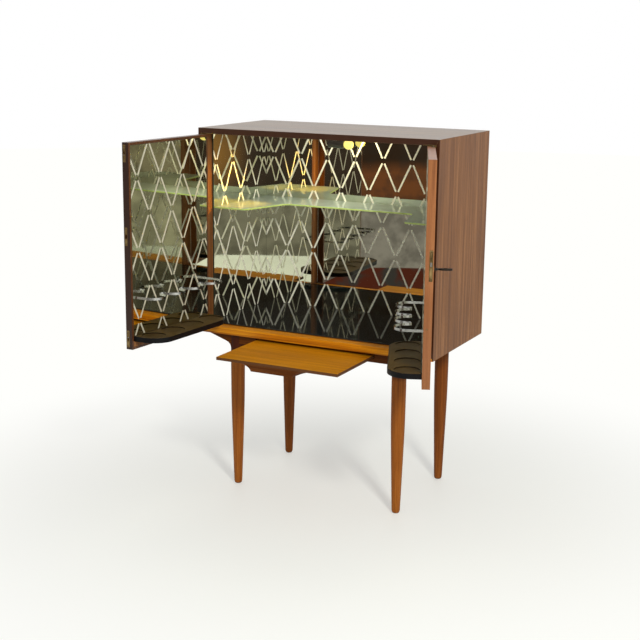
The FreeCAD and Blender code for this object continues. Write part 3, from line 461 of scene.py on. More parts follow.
@dataclass(frozen=True)
class Silvering:
    """Mirror glass, a little smoky, with faint marks from wiping."""

    name: str = "patterned_mirror"
    tint: Colour = (0.74, 0.75, 0.64)
    rim: Colour = (0.020, 0.034, 0.024)

    def material(self) -> bpy.types.Material:
        """Builds the material.

        Returns:
            The finished material.
        """
        r = Recipe.named(self.name)
        rim, marks = r.mark("rim"), r.figure(Figure.MIRROR_WIPES)
        specks = r.figure(Figure.MIRROR_SPECKS).smooth(0.72, 0.80)
        colour = r.blend(specks * 0.5, self.tint, scaled(self.tint, 0.45))
        return r.surface(Base_Color=r.blend(rim, colour, self.rim), Metallic=1.0 - rim,
                         Roughness=marks.smooth(0.45, 0.8) * 0.035 + 0.012 + rim * 0.2)


@dataclass(frozen=True)
class Etching:
    """The pale matt lines of the lattice."""

    name: str = "etched_line"
    pale: Colour = (0.95, 0.93, 0.77)
    relief: float = 0.00005

    def material(self) -> bpy.types.Material:
        """Builds the material.

        Returns:
            The finished material.
        """
        r = Recipe.named(self.name)
        grit, cloud = r.figure(Figure.ETCHED_GRIT), r.figure(Figure.ETCHED_CLOUD)
        colour = r.blend(cloud * 0.3 + grit * 0.15, self.pale, scaled(self.pale, 0.85))
        return r.surface(Base_Color=colour, Roughness=0.5 + grit * 0.2, Normal=r.bump(grit, self.relief, 0.5))


@dataclass(frozen=True)
class DarkGlass:
    """Black glass, polished."""

    name: str = "black_glass"
    tint: Colour = (0.010, 0.014, 0.014)
    dust_tone: Colour = (0.10, 0.10, 0.09)
    refraction: float = 1.52

    def material(self) -> bpy.types.Material:
        """Builds the material.

        Returns:
            The finished material.
        """
        r = Recipe.named(self.name)
        wipes, dust = r.figure(Figure.GLASS_WIPES), r.figure(Figure.GLASS_DUST).smooth(0.74, 0.82)
        colour = r.blend(dust * 0.4, self.tint, self.dust_tone)
        return r.surface(Base_Color=colour, Roughness=wipes.smooth(0.4, 0.8) * 0.06 + 0.03,
                         IOR=self.refraction)


@dataclass(frozen=True)
class ClearGlass:
    """Old plate glass, pale green with a faint bloom, and milky green along its ground edges."""

    name: str = "clear_glass"
    body: Colour = (0.86, 0.94, 0.84)
    edge: Colour = (0.62, 0.78, 0.22)
    bloom: Colour = (0.82, 0.98, 0.82)
    bloom_share: float = 0.32
    edge_share: float = 0.70
    refraction: float = 1.52

    def material(self) -> bpy.types.Material:
        """Builds the material.

        Returns:
            The finished material.
        """
        r = Recipe.named(self.name)
        edge = abs(r.parts(r.facing())["Z"]).smooth(0.9, 0.4)
        marks = r.figure(Figure.SHELF_MARKS)
        glass = r.out("ShaderNodeBsdfPrincipled", sockets={
            "Base Color": r.blend(edge, self.body, self.edge), "IOR": self.refraction,
            "Roughness": marks.smooth(0.5, 0.8) * 0.05 + 0.01, "Transmission Weight": 1.0})
        film = r.out("ShaderNodeBsdfPrincipled", sockets={
            "Base Color": r.blend(edge, self.bloom, self.edge), "Roughness": 0.3})
        share = edge * (self.edge_share - self.bloom_share) + self.bloom_share + (marks - 0.5) * 0.08
        return r.ended(r.out("ShaderNodeMixShader", sockets={0: share, 1: glass, 2: film}))


@dataclass(frozen=True)
class Metal:
    """Plated or bare metal, with fine scratches and some dulling."""

    name: str
    bright: Colour
    dull: Colour
    roughness: float = 0.12
    age: float = 0.4
    scratches: tuple[float, float, float] = (2600.0, 2600.0, 180.0)
    scratch_depth: float = 0.00003

    def material(self) -> bpy.types.Material:
        """Builds the material.

        Returns:
            The finished material.
        """
        r = Recipe.named(self.name)
        patina = r.figure(Figure.PATINA).smooth(0.42, 0.72)
        hairs = r.noise(r.out("ShaderNodeMapping", sockets={0: r.place(), 3: self.scratches}), 1.0, 2.0)
        return r.surface(Base_Color=r.blend(patina * self.age, self.bright, self.dull), Metallic=1.0,
                         Roughness=self.roughness + patina * 0.22 * self.age + hairs * 0.05,
                         Normal=r.bump(hairs, self.scratch_depth, 0.4))


@dataclass(frozen=True)
class Coating:
    """A moulded or painted surface, with a fine orange-peel relief."""

    name: str
    tint: Colour
    roughness: float = 0.3
    coat: float = 0.3
    relief: float = 0.00004
    grain: float = 900.0
    gloss: float = 0.5

    def material(self) -> bpy.types.Material:
        """Builds the material.

        Returns:
            The finished material.
        """
        r = Recipe.named(self.name)
        peel = r.noise(r.place(), self.grain, 2.0)
        cloud = r.figure(Figure.COAT_CLOUD)
        return r.surface(Base_Color=r.blend(cloud * 0.5, self.tint, scaled(self.tint, 1.35, 0.001)),
                         Roughness=self.roughness + cloud * 0.12, Coat_Weight=self.coat, Coat_Roughness=0.15,
                         Specular_IOR_Level=self.gloss, Normal=r.bump(peel, self.relief, 0.6))


@dataclass(frozen=True)
class Bronzed:
    """The door shelves' inlay: a dark golden-brown sheet with a slight fleck, with painted shade down in the
    wells, near-black painted shade on the wells' walls and a painted highlight on its rounded rims.
    """

    name: str = "bronze_inlay"
    gold: Colour = (0.105, 0.058, 0.010)
    # The fleck's dark tone, which also paints the shade down in the wells; the rounded rims' lighter colour,
    # a painted highlight; and the wells' walls' near-black painted shade.
    shade: Colour = (0.035, 0.020, 0.005)
    worn: Colour = (0.26, 0.16, 0.05)
    wall: Colour = (0.004, 0.003, 0.002)
    top: float = 0.635
    relief: float = 0.00006

    def material(self) -> bpy.types.Material:
        """Builds the material.

        Returns:
            The finished material.
        """
        r = Recipe.named(self.name)
        height = r.parts(r.place())["Z"]
        fleck, cloud = r.figure(Figure.INLAY_FLECK), r.figure(Figure.INLAY_CLOUD)
        colour = r.blend(cloud * 0.5 + fleck * 0.4, self.gold, self.shade)
        # Painted shade: darker towards the floors of the wells.
        colour = r.blend(height.smooth(self.top - 0.0008, self.top - 0.0024) * 0.4, colour, self.shade)
        # Painted shade on the wells' walls, and a painted highlight on the rounded rims.
        wall = abs(r.parts(r.facing())["Z"]).smooth(0.75, 0.35)
        colour = r.blend(wall, r.blend(r.mark("edge_wear") * 0.7, colour, self.worn), self.wall)
        return r.surface(Base_Color=colour, Roughness=0.42 + cloud * 0.15, Specular_IOR_Level=0.25,
                         Normal=r.bump(fleck, self.relief, 0.6))


@dataclass(frozen=True)
class Glow:
    """The lit bulb's frosted glass."""

    name: str = "warm_bulb"
    core: Colour = (1.0, 0.95, 0.34)
    rim: Colour = (1.0, 0.74, 0.10)
    glass: Colour = (0.12, 0.09, 0.02)
    strength: float = 1.05

    def material(self) -> bpy.types.Material:
        """Builds the material.

        Returns:
            The finished material.
        """
        r = Recipe.named(self.name)
        frost = r.figure(Figure.FROST)
        return r.surface(Base_Color=self.glass, Roughness=0.35 + frost * 0.1,
                         Emission_Color=r.blend(frost, self.core, self.rim), Emission_Strength=self.strength)


@dataclass
class Palette:
    """Every finish, made once and looked up by name."""

    made: dict[str, bpy.types.Material] = field(default_factory=dict)

    # The record's material slot of each finish that isn't named like its slot.
    SLOTS = {"teak_top": "teak_veneer", "teak_side": "teak_veneer", "teak_bottom": "teak_veneer",
             "teak_door": "teak_veneer", "teak_left_lipping": "solid_teak",
             "teak_right_lipping": "solid_teak", "teak_rail": "solid_teak", "teak_side_rail": "solid_teak",
             "teak_grip": "solid_teak", "teak_tray": "tray_teak", "beech_runner": "beech",
             "back_veneer": "back_board"}

    def finishes(self) -> list:
        """All the finishes of the cabinet.

        Returns:
            A list of finishes, each with a name and a material method.
        """
        side = dict(dark=(0.140, 0.050, 0.013), middle=(0.222, 0.088, 0.026), pale=(0.320, 0.142, 0.052))
        top = dict(dark=(0.125, 0.066, 0.026), middle=(0.190, 0.108, 0.044), pale=(0.275, 0.165, 0.072))
        solid = dict(dark=(0.168, 0.044, 0.005), middle=(0.290, 0.086, 0.010), pale=(0.395, 0.138, 0.022))
        # Painted shade: the back legs' teak is a darker copy of the front legs', standing in for the shade
        # under the cabinet.
        back = dict(dark=(0.112, 0.028, 0.003), middle=(0.192, 0.052, 0.006), pale=(0.275, 0.084, 0.013))
        # Painted shade: the rails and corner wings are a darker copy of the solid teak, for the shade under
        # the cabinet.
        rail = dict(dark=(0.042, 0.010, 0.001), middle=(0.080, 0.020, 0.002), pale=(0.125, 0.036, 0.004))
        # Painted shade: the grip is a darker copy of the solid teak, for the shade under the tray.
        grip = dict(dark=(0.056, 0.013, 0.002), middle=(0.098, 0.026, 0.003), pale=(0.150, 0.045, 0.007))
        gold = dict(dark=(0.350, 0.104, 0.001), middle=(0.580, 0.200, 0.002), pale=(0.760, 0.310, 0.006))
        # Painted shade: the left lipping is a darker copy of the solid teak.
        left_lip = dict(dark=(0.050, 0.015, 0.004), middle=(0.090, 0.029, 0.008), pale=(0.145, 0.052, 0.015))
        # Painted light: the right lipping is a lighter copy of the solid teak.
        right_lip = dict(dark=(0.170, 0.056, 0.018), middle=(0.300, 0.112, 0.036), pale=(0.430, 0.182, 0.068))
        tray = dict(dark=(0.330, 0.110, 0.002), middle=(0.505, 0.186, 0.003), pale=(0.640, 0.270, 0.008))
        return [
            # Painted shade: the top's and the sides' near-black edge colour on their front and back faces.
            Timber("teak_top", Grain.WIDTH, **top, coat=0.55, contrast=0.06, edge=(0.034, 0.010, 0.003)),
            Timber("teak_side", Grain.HEIGHT, **side, contrast=0.08, edge=(0.036, 0.011, 0.004)),
            Timber("teak_bottom", Grain.WIDTH, **gold, contrast=0.08, gloss=0.2, edge=(0.115, 0.040, 0.011),
                   edge_faces=("+X", "-X", "+Y", "-Z")),
            Timber("teak_door", Grain.HEIGHT, **side),
            # Painted shade on the left lipping, darker still on its front face.
            Timber("teak_left_lipping", Grain.HEIGHT, **left_lip, coat=0.5, edge=(0.020, 0.005, 0.002),
                   edge_faces=("-Y",)),
            # Painted light on the right lipping, with painted shade towards its lower part.
            Timber("teak_right_lipping", Grain.HEIGHT, **right_lip, coat=0.4, contrast=0.14,
                   shade_span=(0.94, 0.84), shade=(0.180, 0.056, 0.012), shade_share=0.5),
            # Painted shade: both leg finishes darken towards the legs' tops, under the cabinet.
            Timber("teak_leg", Grain.HEIGHT, **solid, band_width=0.009, contrast=0.15, gloss=0.14,
                   shade_span=(0.470, 0.500)),
            Timber("teak_back_leg", Grain.HEIGHT, **back, band_width=0.009, contrast=0.15, gloss=0.14,
                   shade_span=(0.470, 0.500)),
            Timber("teak_rail", Grain.WIDTH, **rail, gloss=0.08),
            Timber("teak_side_rail", Grain.DEPTH, **rail, gloss=0.08),
            Timber("teak_grip", Grain.WIDTH, **grip, gloss=0.08),
            Timber("teak_tray", Grain.WIDTH, **tray, band_width=0.022, gloss=0.12, edge=(0.085, 0.033, 0.011),
                   edge_faces=("+X", "-X", "+Y", "-Y")),
            Timber("beech_runner", Grain.DEPTH, (0.32, 0.18, 0.09), (0.42, 0.26, 0.14), (0.50, 0.33, 0.19),
                   band_width=0.006, roughness=0.55),
            Timber("back_veneer", Grain.HEIGHT, (0.16, 0.085, 0.045), (0.22, 0.125, 0.070),
                   (0.29, 0.175, 0.10), roughness=0.6),
            # Painted shade: the doors' lines are a darker copy of the etched lines.
            Silvering(), Etching(), Etching("etched_door_line", (0.58, 0.55, 0.42)),
            DarkGlass(), ClearGlass(), Bronzed(), Glow(),
            Metal("chrome_strip", (0.54, 0.54, 0.53), (0.16, 0.16, 0.16), 0.07, 0.4),
            Metal("aged_brass", (0.34, 0.235, 0.105), (0.11, 0.072, 0.036), 0.3, 0.8),
            Metal("plain_steel", (0.52, 0.51, 0.49), (0.25, 0.22, 0.19), 0.25, 0.6),
            Metal("key_black", (0.050, 0.048, 0.046), (0.020, 0.017, 0.015), 0.3, 0.7),
            Coating("black_lacquer", (0.003, 0.003, 0.004), 0.3, 0.0, gloss=0.15),
            Coating("black_bakelite", (0.012, 0.010, 0.009), 0.25, 0.6),
            Coating("glide_plastic", (0.30, 0.29, 0.26), 0.5, 0.0),
        ]

    def __getitem__(self, name: str) -> bpy.types.Material:
        """The material of a finish. All of them are made at the first call.

        Args:
            name: The finish's name.

        Returns:
            Its material.
        """
        if not self.made:
            self.made = {finish.name: finish.material() for finish in self.finishes()}
        return self.made[name]

    def slot(self, finish: str) -> str:
        """The record's material slot for a finish."""
        return self.SLOTS.get(finish, finish)


# Pieces


class Edge(Enum):
    """How far a piece's sharp edges are rounded, and the shortest edge that is, in metres."""

    WORKED = (0.0008, 0.012)
    PLANED = (0.0006, 0.012)
    SHAPED = (0.0006, 0.004)
    ROUTED = (0.0010, 0.0015)
    CUT = (0.0005, 0.012)
    GROUND = (0.0007, 0.0)
    INLAID = (0.0004, 0.0)
    PLATED = (0.00035, 0.0)
    STAMPED = (0.0003, 0.002)
    PRESSED = (0.0003, 0.0)
    BENT = (0.0003, 0.012)
    FOLDED = (0.0004, 0.012)
    FORGED = (0.0006, 0.0)


def place_piece(name: str, mesh: bpy.types.Mesh, body: Body, slot: str, *replaced: str) -> bpy.types.Object:
    """Puts a finished mesh into the scene.

    Args:
        name: The piece's name.
        mesh: Its mesh, already in place.
        body: The body it rides on.
        slot: The record's material slot; not used.
        replaced: The CAD nodes it stands for.

    Returns:
        The piece.
    """
    mesh.name = name
    piece = bpy.data.objects.new(name, mesh)
    bpy.context.scene.collection.objects.link(piece)
    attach(piece, body.value)
    if replaced:
        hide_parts(*replaced)
    LOG.info("piece %s: %d faces, rides on %s", name, len(mesh.polygons), body.value)
    return piece


def grown(tree: Tree, name: str, seed: bpy.types.Mesh, inputs: dict[str, object]) -> bpy.types.Mesh:
    """Runs a geometry tree and returns what it makes as a plain mesh.

    Args:
        tree: The geometry tree.
        name: The mesh's name.
        seed: The mesh that the tree starts from.
        inputs: A value for each of the tree's named inputs.

    Returns:
        The plain mesh.
    """
    carrier = bpy.data.objects.new(name + "_seed", seed)
    bpy.context.scene.collection.objects.link(carrier)
    modifier = carrier.modifiers.new("tree", "NODES")
    modifier.node_group = tree
    sockets = {s.name: s.identifier for s in tree.interface.items_tree if s.in_out == "INPUT"}
    for label, value in inputs.items():
        modifier[sockets[label]] = value
    carrier.update_tag()
    bpy.context.view_layer.update()
    made = bpy.data.meshes.new_from_object(carrier.evaluated_get(bpy.context.evaluated_depsgraph_get()))
    carrier.modifiers.remove(modifier)
    bpy.data.objects.remove(carrier)
    made.name = name
    return made


@dataclass(frozen=True)
class Softened:
    """A CAD node's shape with its sharp outer edges eased, as sandpaper leaves them."""

    node: str
    body: Body
    finish: str
    edge: Edge
    suffix: str = "_worked"
    merge: float = 2e-6
    flat_degrees: float = 0.4
    sharp_degrees: float = 35.0
    crease_degrees: float = 50.0
    steps: int = 2
    rim_facing: float = 0.9

    def build(self, frame: dict, palette: Palette) -> bpy.types.Object:
        """Makes the piece and hides the node.

        Args:
            frame: The loaded frame.
            palette: The finishes.

        Returns:
            The piece.
        """
        mesh = bpy.data.meshes.new(self.node + self.suffix)
        width, shortest = self.edge.value
        shape = bmesh.new()
        shape.from_mesh(frame["nodes"][self.node].data)
        bmesh.ops.remove_doubles(shape, verts=shape.verts, dist=self.merge)
        bmesh.ops.dissolve_limit(shape, angle_limit=math.radians(self.flat_degrees), verts=shape.verts,
                                 edges=shape.edges)
        corner = math.radians(self.sharp_degrees)
        sharp = [e for e in shape.edges if len(e.link_faces) == 2 and e.is_convex
                 and e.calc_face_angle(0.0) > corner and e.calc_length() >= shortest]
        before = set(shape.faces)
        rounded: set = set()
        if sharp:
            done = bmesh.ops.bevel(shape, geom=sharp, offset=width, offset_type="OFFSET",
                                   segments=self.steps, profile=0.5, affect="EDGES", clamp_overlap=True)
            rounded = set(done["faces"]) - before
        crease = math.radians(self.crease_degrees)
        for edge in shape.edges:
            sides = edge.link_faces
            border = len(sides) == 2 and (sides[0] in rounded) != (sides[1] in rounded)
            edge.smooth = not (border or len(sides) != 2 or edge.calc_face_angle(0.0) > crease)
        shape.normal_update()
        ahead = max(shape.faces, key=lambda face: face.calc_area()).normal.copy()
        for layer in ("edge_wear", "rim"):
            shape.faces.layers.float.new(layer)
        worn, rim = shape.faces.layers.float["edge_wear"], shape.faces.layers.float["rim"]
        for face in shape.faces:
            face[worn] = 1.0 if face in rounded else 0.0
            face[rim] = 1.0 if abs(face.normal.dot(ahead)) < self.rim_facing else 0.0
            face.smooth = True
            face.material_index = 0
        shape.to_mesh(mesh)
        shape.free()
        mesh.materials.append(palette[self.finish])
        return place_piece(self.node + self.suffix, mesh, self.body, palette.slot(self.finish), self.node)


# Geometry trees


@dataclass
class Shaping(Wiring):
    """A geometry tree with named inputs, and the few nodes that both trees use."""

    given: object = None

    @classmethod
    def named(cls, name: str, inputs: dict[str, tuple[str, object]]) -> Shaping:
        """Starts a tree.

        Args:
            name: The tree's name.
            inputs: Each input's socket type and first value.

        Returns:
            The tree's wiring.
        """
        tree = bpy.data.node_groups.new(name, "GeometryNodeTree")
        tree.interface.new_socket("Geometry", in_out="OUTPUT", socket_type="NodeSocketGeometry")
        for label, (kind, value) in inputs.items():
            socket = tree.interface.new_socket(label, in_out="INPUT", socket_type=kind)
            if value is not None:
                socket.default_value = value
        shaping = cls(tree)
        shaping.given = shaping.add("NodeGroupInput").outputs
        return shaping

    def number(self, name: str) -> Signal:
        """A named input as a signal."""
        return Signal(self, self.given[name])

    def moved(self, shape: Socket, by: object, **more: object) -> Socket:
        """A shape shifted, and turned where more holds a rotation."""
        return self.out("GeometryNodeTransform", sockets={"Geometry": shape, "Translation": by, **more})

    def repeated(self, points: Socket, shape: Socket, **more: object) -> Socket:
        """A shape set on every point, with the turn and scale that more holds."""
        return self.out("GeometryNodeInstanceOnPoints", sockets={"Points": points, "Instance": shape, **more})

    def realized(self, shapes: Socket) -> Socket:
        """Repeated shapes as plain ones."""
        return self.out("GeometryNodeRealizeInstances", sockets={0: shapes})

    def dressed(self, shape: Socket) -> Tree:
        """Ends the tree.

        Args:
            shape: What the tree gives.

        Returns:
            The tree, whose shape has its material.
        """
        self.add("NodeGroupOutput", sockets={0: self.out("GeometryNodeSetMaterial", sockets={
            "Geometry": shape, "Material": self.given["Material"]})})
        return self.tree


class LatticeTree:
    """The geometry tree that draws the crossing lines of every mirror, with a break at each crossing."""

    INPUTS = {"Rows": ("NodeSocketInt", 6), "Columns": ("NodeSocketInt", 8),
              "Column Spacing": ("NodeSocketFloat", 0.113), "Row Spacing": ("NodeSocketFloat", 0.1175),
              "First Node": ("NodeSocketVector", (0.0, 0.0, 0.0)), "Line Width": ("NodeSocketFloat", 0.0066),
              "Line Height": ("NodeSocketFloat", 0.0002), "Node Gap": ("NodeSocketFloat", 0.01),
              "Pane Centre": ("NodeSocketVector", (0.0, 0.0, 0.0)),
              "Pane Size": ("NodeSocketVector", (1.0, 0.01, 1.0)), "Material": ("NodeSocketMaterial", None)}

    @classmethod
    def build(cls) -> Tree:
        """Builds the tree, whose pane stands in the XZ plane.

        Returns:
            The geometry tree.
        """
        w = Shaping.named("lozenge_lattice", cls.INPUTS)
        half, drop = w.number("Column Spacing") * 0.5, w.number("Row Spacing")
        rows = w.out("GeometryNodeMeshLine", sockets={
            "Count": w.given["Rows"], "Start Location": w.given["First Node"],
            "Offset": w.point(z=drop * -1.0)})
        odd = Signal(w, w.out("GeometryNodeInputIndex")).maths("MODULO", 2.0) * half
        rows = w.out("GeometryNodeSetPosition", sockets={"Geometry": rows, "Offset": w.point(odd)})
        columns = w.out("GeometryNodeMeshLine", sockets={
            "Count": w.given["Columns"], "Offset": w.point(w.given["Column Spacing"])})
        nodes = w.realized(w.repeated(rows, columns))
        length = (half * half + drop * drop).maths("SQRT") - w.number("Node Gap") * 2.0
        lean = half.maths("ARCTAN2", drop)
        line = w.out("GeometryNodeMeshCube", sockets={
            "Size": w.point(w.given["Line Width"], w.given["Line Height"], length)})
        pair = w.add("GeometryNodeJoinGeometry")
        for side in (-1.0, 1.0):
            middle = w.point(half * (0.5 * side), 0.0, drop * -0.5)
            w.tree.links.new(w.moved(line, middle, Rotation=w.point(y=lean * -side)), pair.inputs[0])
        pane = w.out("GeometryNodeMeshCube", sockets={"Size": w.given["Pane Size"]})
        cut = w.add("GeometryNodeMeshBoolean", {"operation": "INTERSECT", "solver": "EXACT"})
        for part in (w.realized(w.repeated(nodes, pair.outputs[0])), w.moved(pane, w.given["Pane Centre"])):
            w.tree.links.new(part, cut.inputs["Mesh 2"])
        return w.dressed(cut.outputs[0])


@dataclass(frozen=True)
class Pane:
    """One mirror's lattice: how far apart its crossings are and which part of the plane it fills."""

    name: str
    body: Body
    spacing: float
    row: float
    node_across: float
    node_height: float
    across: tuple[float, float]
    heights: tuple[float, float]
    stand: Matrix
    finish: str = "etched_line"
    margin: float = 0.0015
    cut_depth: float = 0.01

    def build(self, tree: Tree, palette: Palette) -> bpy.types.Object:
        """Grows the lattice and lays it on its mirror.

        Args:
            tree: The lattice's geometry tree.
            palette: The finishes.

        Returns:
            The piece.
        """
        low, high = self.across[0] + self.margin, self.across[1] - self.margin
        bottom, top = self.heights[0] + self.margin, self.heights[1] - self.margin
        above = math.ceil((top - self.node_height) / self.row)
        above += above % 2
        start = self.node_across - self.spacing * math.ceil((self.node_across - low) / self.spacing + 1)
        columns = math.ceil((high - start) / self.spacing) + 1
        rows = math.ceil((self.node_height + above * self.row - bottom) / self.row) + 1
        seed = bpy.data.meshes.new(self.name + "_seed")
        mesh = grown(tree, self.name, seed, {
            "Rows": rows, "Columns": columns, "Column Spacing": self.spacing, "Row Spacing": self.row,
            "First Node": (start, 0.0, self.node_height + above * self.row),
            "Pane Centre": ((low + high) / 2, 0.0, (bottom + top) / 2),
            "Pane Size": (high - low, self.cut_depth, top - bottom), "Material": palette[self.finish]})
        mesh.transform(self.stand)
        if self.stand.to_3x3().determinant() < 0:
            mesh.flip_normals()
        return place_piece(self.name, mesh, self.body, "patterned_mirror")


# Screws


class ScrewTree:
    """The geometry tree that sets a slotted countersunk screw on each point, turned as it stopped."""

    INPUTS = {"Geometry": ("NodeSocketGeometry", None), "Slot Width": ("NodeSocketFloat", 0.24),
              "Slot Depth": ("NodeSocketFloat", 0.3), "Slot Length": ("NodeSocketFloat", 2.4),
              "Head Depth": ("NodeSocketFloat", 0.55), "Shank Share": ("NodeSocketFloat", 0.48),
              "Seed": ("NodeSocketInt", 7), "Material": ("NodeSocketMaterial", None)}
    HEAD_SIDES = 40
    SHANK_SIDES = 24

    @classmethod
    def build(cls) -> Tree:
        """Builds the tree. Points carry screw_axis, head_radius and screw_length.

        Returns:
            The geometry tree.
        """
        w = Shaping.named("slotted_screws", cls.INPUTS)
        head_depth, shank = w.number("Head Depth"), w.number("Shank Share")
        cone = w.out("GeometryNodeMeshCone", sockets={
            "Vertices": cls.HEAD_SIDES, "Radius Top": 1.0, "Radius Bottom": shank, "Depth": head_depth})
        slot = w.out("GeometryNodeMeshCube", sockets={
            "Size": w.point(w.given["Slot Length"], w.given["Slot Width"], w.number("Slot Depth") * 2.0)})
        head = w.out("GeometryNodeMeshBoolean", {"operation": "DIFFERENCE", "solver": "EXACT"},
                     {"Mesh 1": w.moved(cone, w.point(z=head_depth * -1.0)), "Mesh 2": slot})
        stem = w.out("GeometryNodeMeshCylinder", sockets={
            "Vertices": cls.SHANK_SIDES, "Radius": shank, "Depth": 1.0})
        stem = w.moved(stem, (0.0, 0.0, -0.5))
        radius, length = (w.out("GeometryNodeInputNamedAttribute", {"data_type": "FLOAT"}, {"Name": name})
                          for name in ("head_radius", "screw_length"))
        axis = w.out("GeometryNodeInputNamedAttribute", {"data_type": "FLOAT_VECTOR"}, {"Name": "screw_axis"})
        aim = w.out("FunctionNodeAlignRotationToVector", {"axis": "Z"}, {"Vector": axis})
        spin = w.add("FunctionNodeRandomValue", {"data_type": "FLOAT"},
                     {2: 0.0, 3: math.pi, "Seed": w.given["Seed"]})
        twist = w.out("FunctionNodeEulerToRotation", sockets={0: w.point(z=spin.outputs[1])})
        turn = w.out("FunctionNodeRotateRotation", {"rotation_space": "LOCAL"}, {0: aim, 1: twist})
        both = w.add("GeometryNodeJoinGeometry")
        for shape, height in ((head, radius), (stem, length)):
            size = w.point(radius, radius, height)
            screws = w.repeated(w.given["Geometry"], shape, Rotation=turn, Scale=size)
            w.tree.links.new(screws, both.inputs[0])
        return w.dressed(w.realized(both.outputs[0]))


@dataclass(frozen=True)
class Screws:
    """The slotted screws that stand for one CAD node of plain ones."""

    node: str
    body: Body
    finish: str
    merge: float = 2e-6
    end_reach: float = 0.0035
    face_reach: float = 0.0003
    length_share: float = 0.98

    def axes(self, frame: dict) -> list[tuple[Vector, Vector, float, float]]:
        """Finds each screw in the node.

        Args:
            frame: The loaded frame.

        Returns:
            For each screw the middle of its head's face, the way it faces, its head's radius and its length.
        """
        shape = bmesh.new()
        shape.from_mesh(frame["nodes"][self.node].data)
        bmesh.ops.remove_doubles(shape, verts=shape.verts, dist=self.merge)
        found, seen = [], set()
        for start in shape.verts:
            if start in seen:
                continue
            stack, points = [start], []
            seen.add(start)
            while stack:
                vert = stack.pop()
                points.append(vert.co.copy())
                for edge in vert.link_edges:
                    other = edge.other_vert(vert)
                    if other not in seen:
                        seen.add(other)
                        stack.append(other)
            found.append(self.measured(points))
        shape.free()
        return found

    def measured(self, points: list[Vector]) -> tuple[Vector, Vector, float, float]:
        """Reads one screw from its points.

        Args:
            points: All of its vertices.

        Returns:
            The middle of its head's face, the way it faces, its head's radius and its length.
        """
        far = max(points, key=lambda p: (p - points[0]).length)
        other = max(points, key=lambda p: (p - far).length)
        rough = (other - far).normalized()
        ends = []
        for end, way in ((far, -1.0), (other, 1.0)):
            reach = max(p.dot(rough) * way for p in points)
            rim = [p for p in points if p.dot(rough) * way > reach - self.end_reach]
            ends.append((sum(rim, Vector()) / len(rim), max((p - end).length for p in rim)))
        (centre, _), (tail, _) = sorted(ends, key=lambda e: -e[1])
        axis = (centre - tail).normalized()
        reach = max(p.dot(axis) for p in points)
        low = min(p.dot(axis) for p in points)
        face = [p for p in points if p.dot(axis) > reach - self.face_reach]
        middle = sum(face, Vector()) / len(face)
        return middle, axis, max((p - middle).length for p in face), reach - low

    def build(self, frame: dict, tree: Tree, palette: Palette) -> bpy.types.Object:
        """Sets the screws and hides the plain ones.

        Args:
            frame: The loaded frame.
            tree: The screws' geometry tree.
            palette: The finishes.

        Returns:
            The piece.
        """
        rows = self.axes(frame)
        seed = bpy.data.meshes.new(self.node + "_seed")
        seed.from_pydata([row[0] for row in rows], [], [])
        aims = seed.attributes.new("screw_axis", "FLOAT_VECTOR", "POINT")
        for item, row in zip(aims.data, rows):
            item.vector = row[1]
        for name, column, share in (("head_radius", 2, 1.0), ("screw_length", 3, self.length_share)):
            layer = seed.attributes.new(name, "FLOAT", "POINT")
            for item, row in zip(layer.data, rows):
                item.value = row[column] * share
        mesh = grown(tree, self.node, seed, {"Material": palette[self.finish]})
        return place_piece(self.node + "_slotted", mesh, self.body, palette.slot(self.finish), self.node)


# Sub-assemblies


@dataclass
class Workshop:
    """What every sub-assembly needs: the frame, the finishes and the two geometry trees."""

    frame: dict
    palette: Palette
    lattice: Tree
    screws: Tree

    def soften(self, body: Body, finish: str, edge: Edge, *nodes: str) -> None:
        """Replaces CAD nodes by the same shapes with worked edges.

        Args:
            body: The body they ride on.
            finish: Their finish.
            edge: How their edges are worked.
            nodes: The nodes.
        """
        for node in nodes:
            Softened(node, body, finish, edge).build(self.frame, self.palette)

    def dress(self, finish: str, *nodes: str) -> None:
        """Gives CAD nodes that stay a finish.

        Args:
            finish: The finish.
            nodes: The nodes.
        """
        for node in nodes:
            for slot in self.frame["nodes"][node].material_slots:
                slot.material = self.palette[finish]
            LOG.info("node %s: %s", node, finish)

    def screw(self, body: Body, finish: str, node: str) -> None:
        """Replaces a CAD node of plain screws by slotted ones."""
        Screws(node, body, finish).build(self.frame, self.screws, self.palette)

    def lay(self, pane: Pane) -> None:
        """Lays a mirror's lattice."""
        pane.build(self.lattice, self.palette)


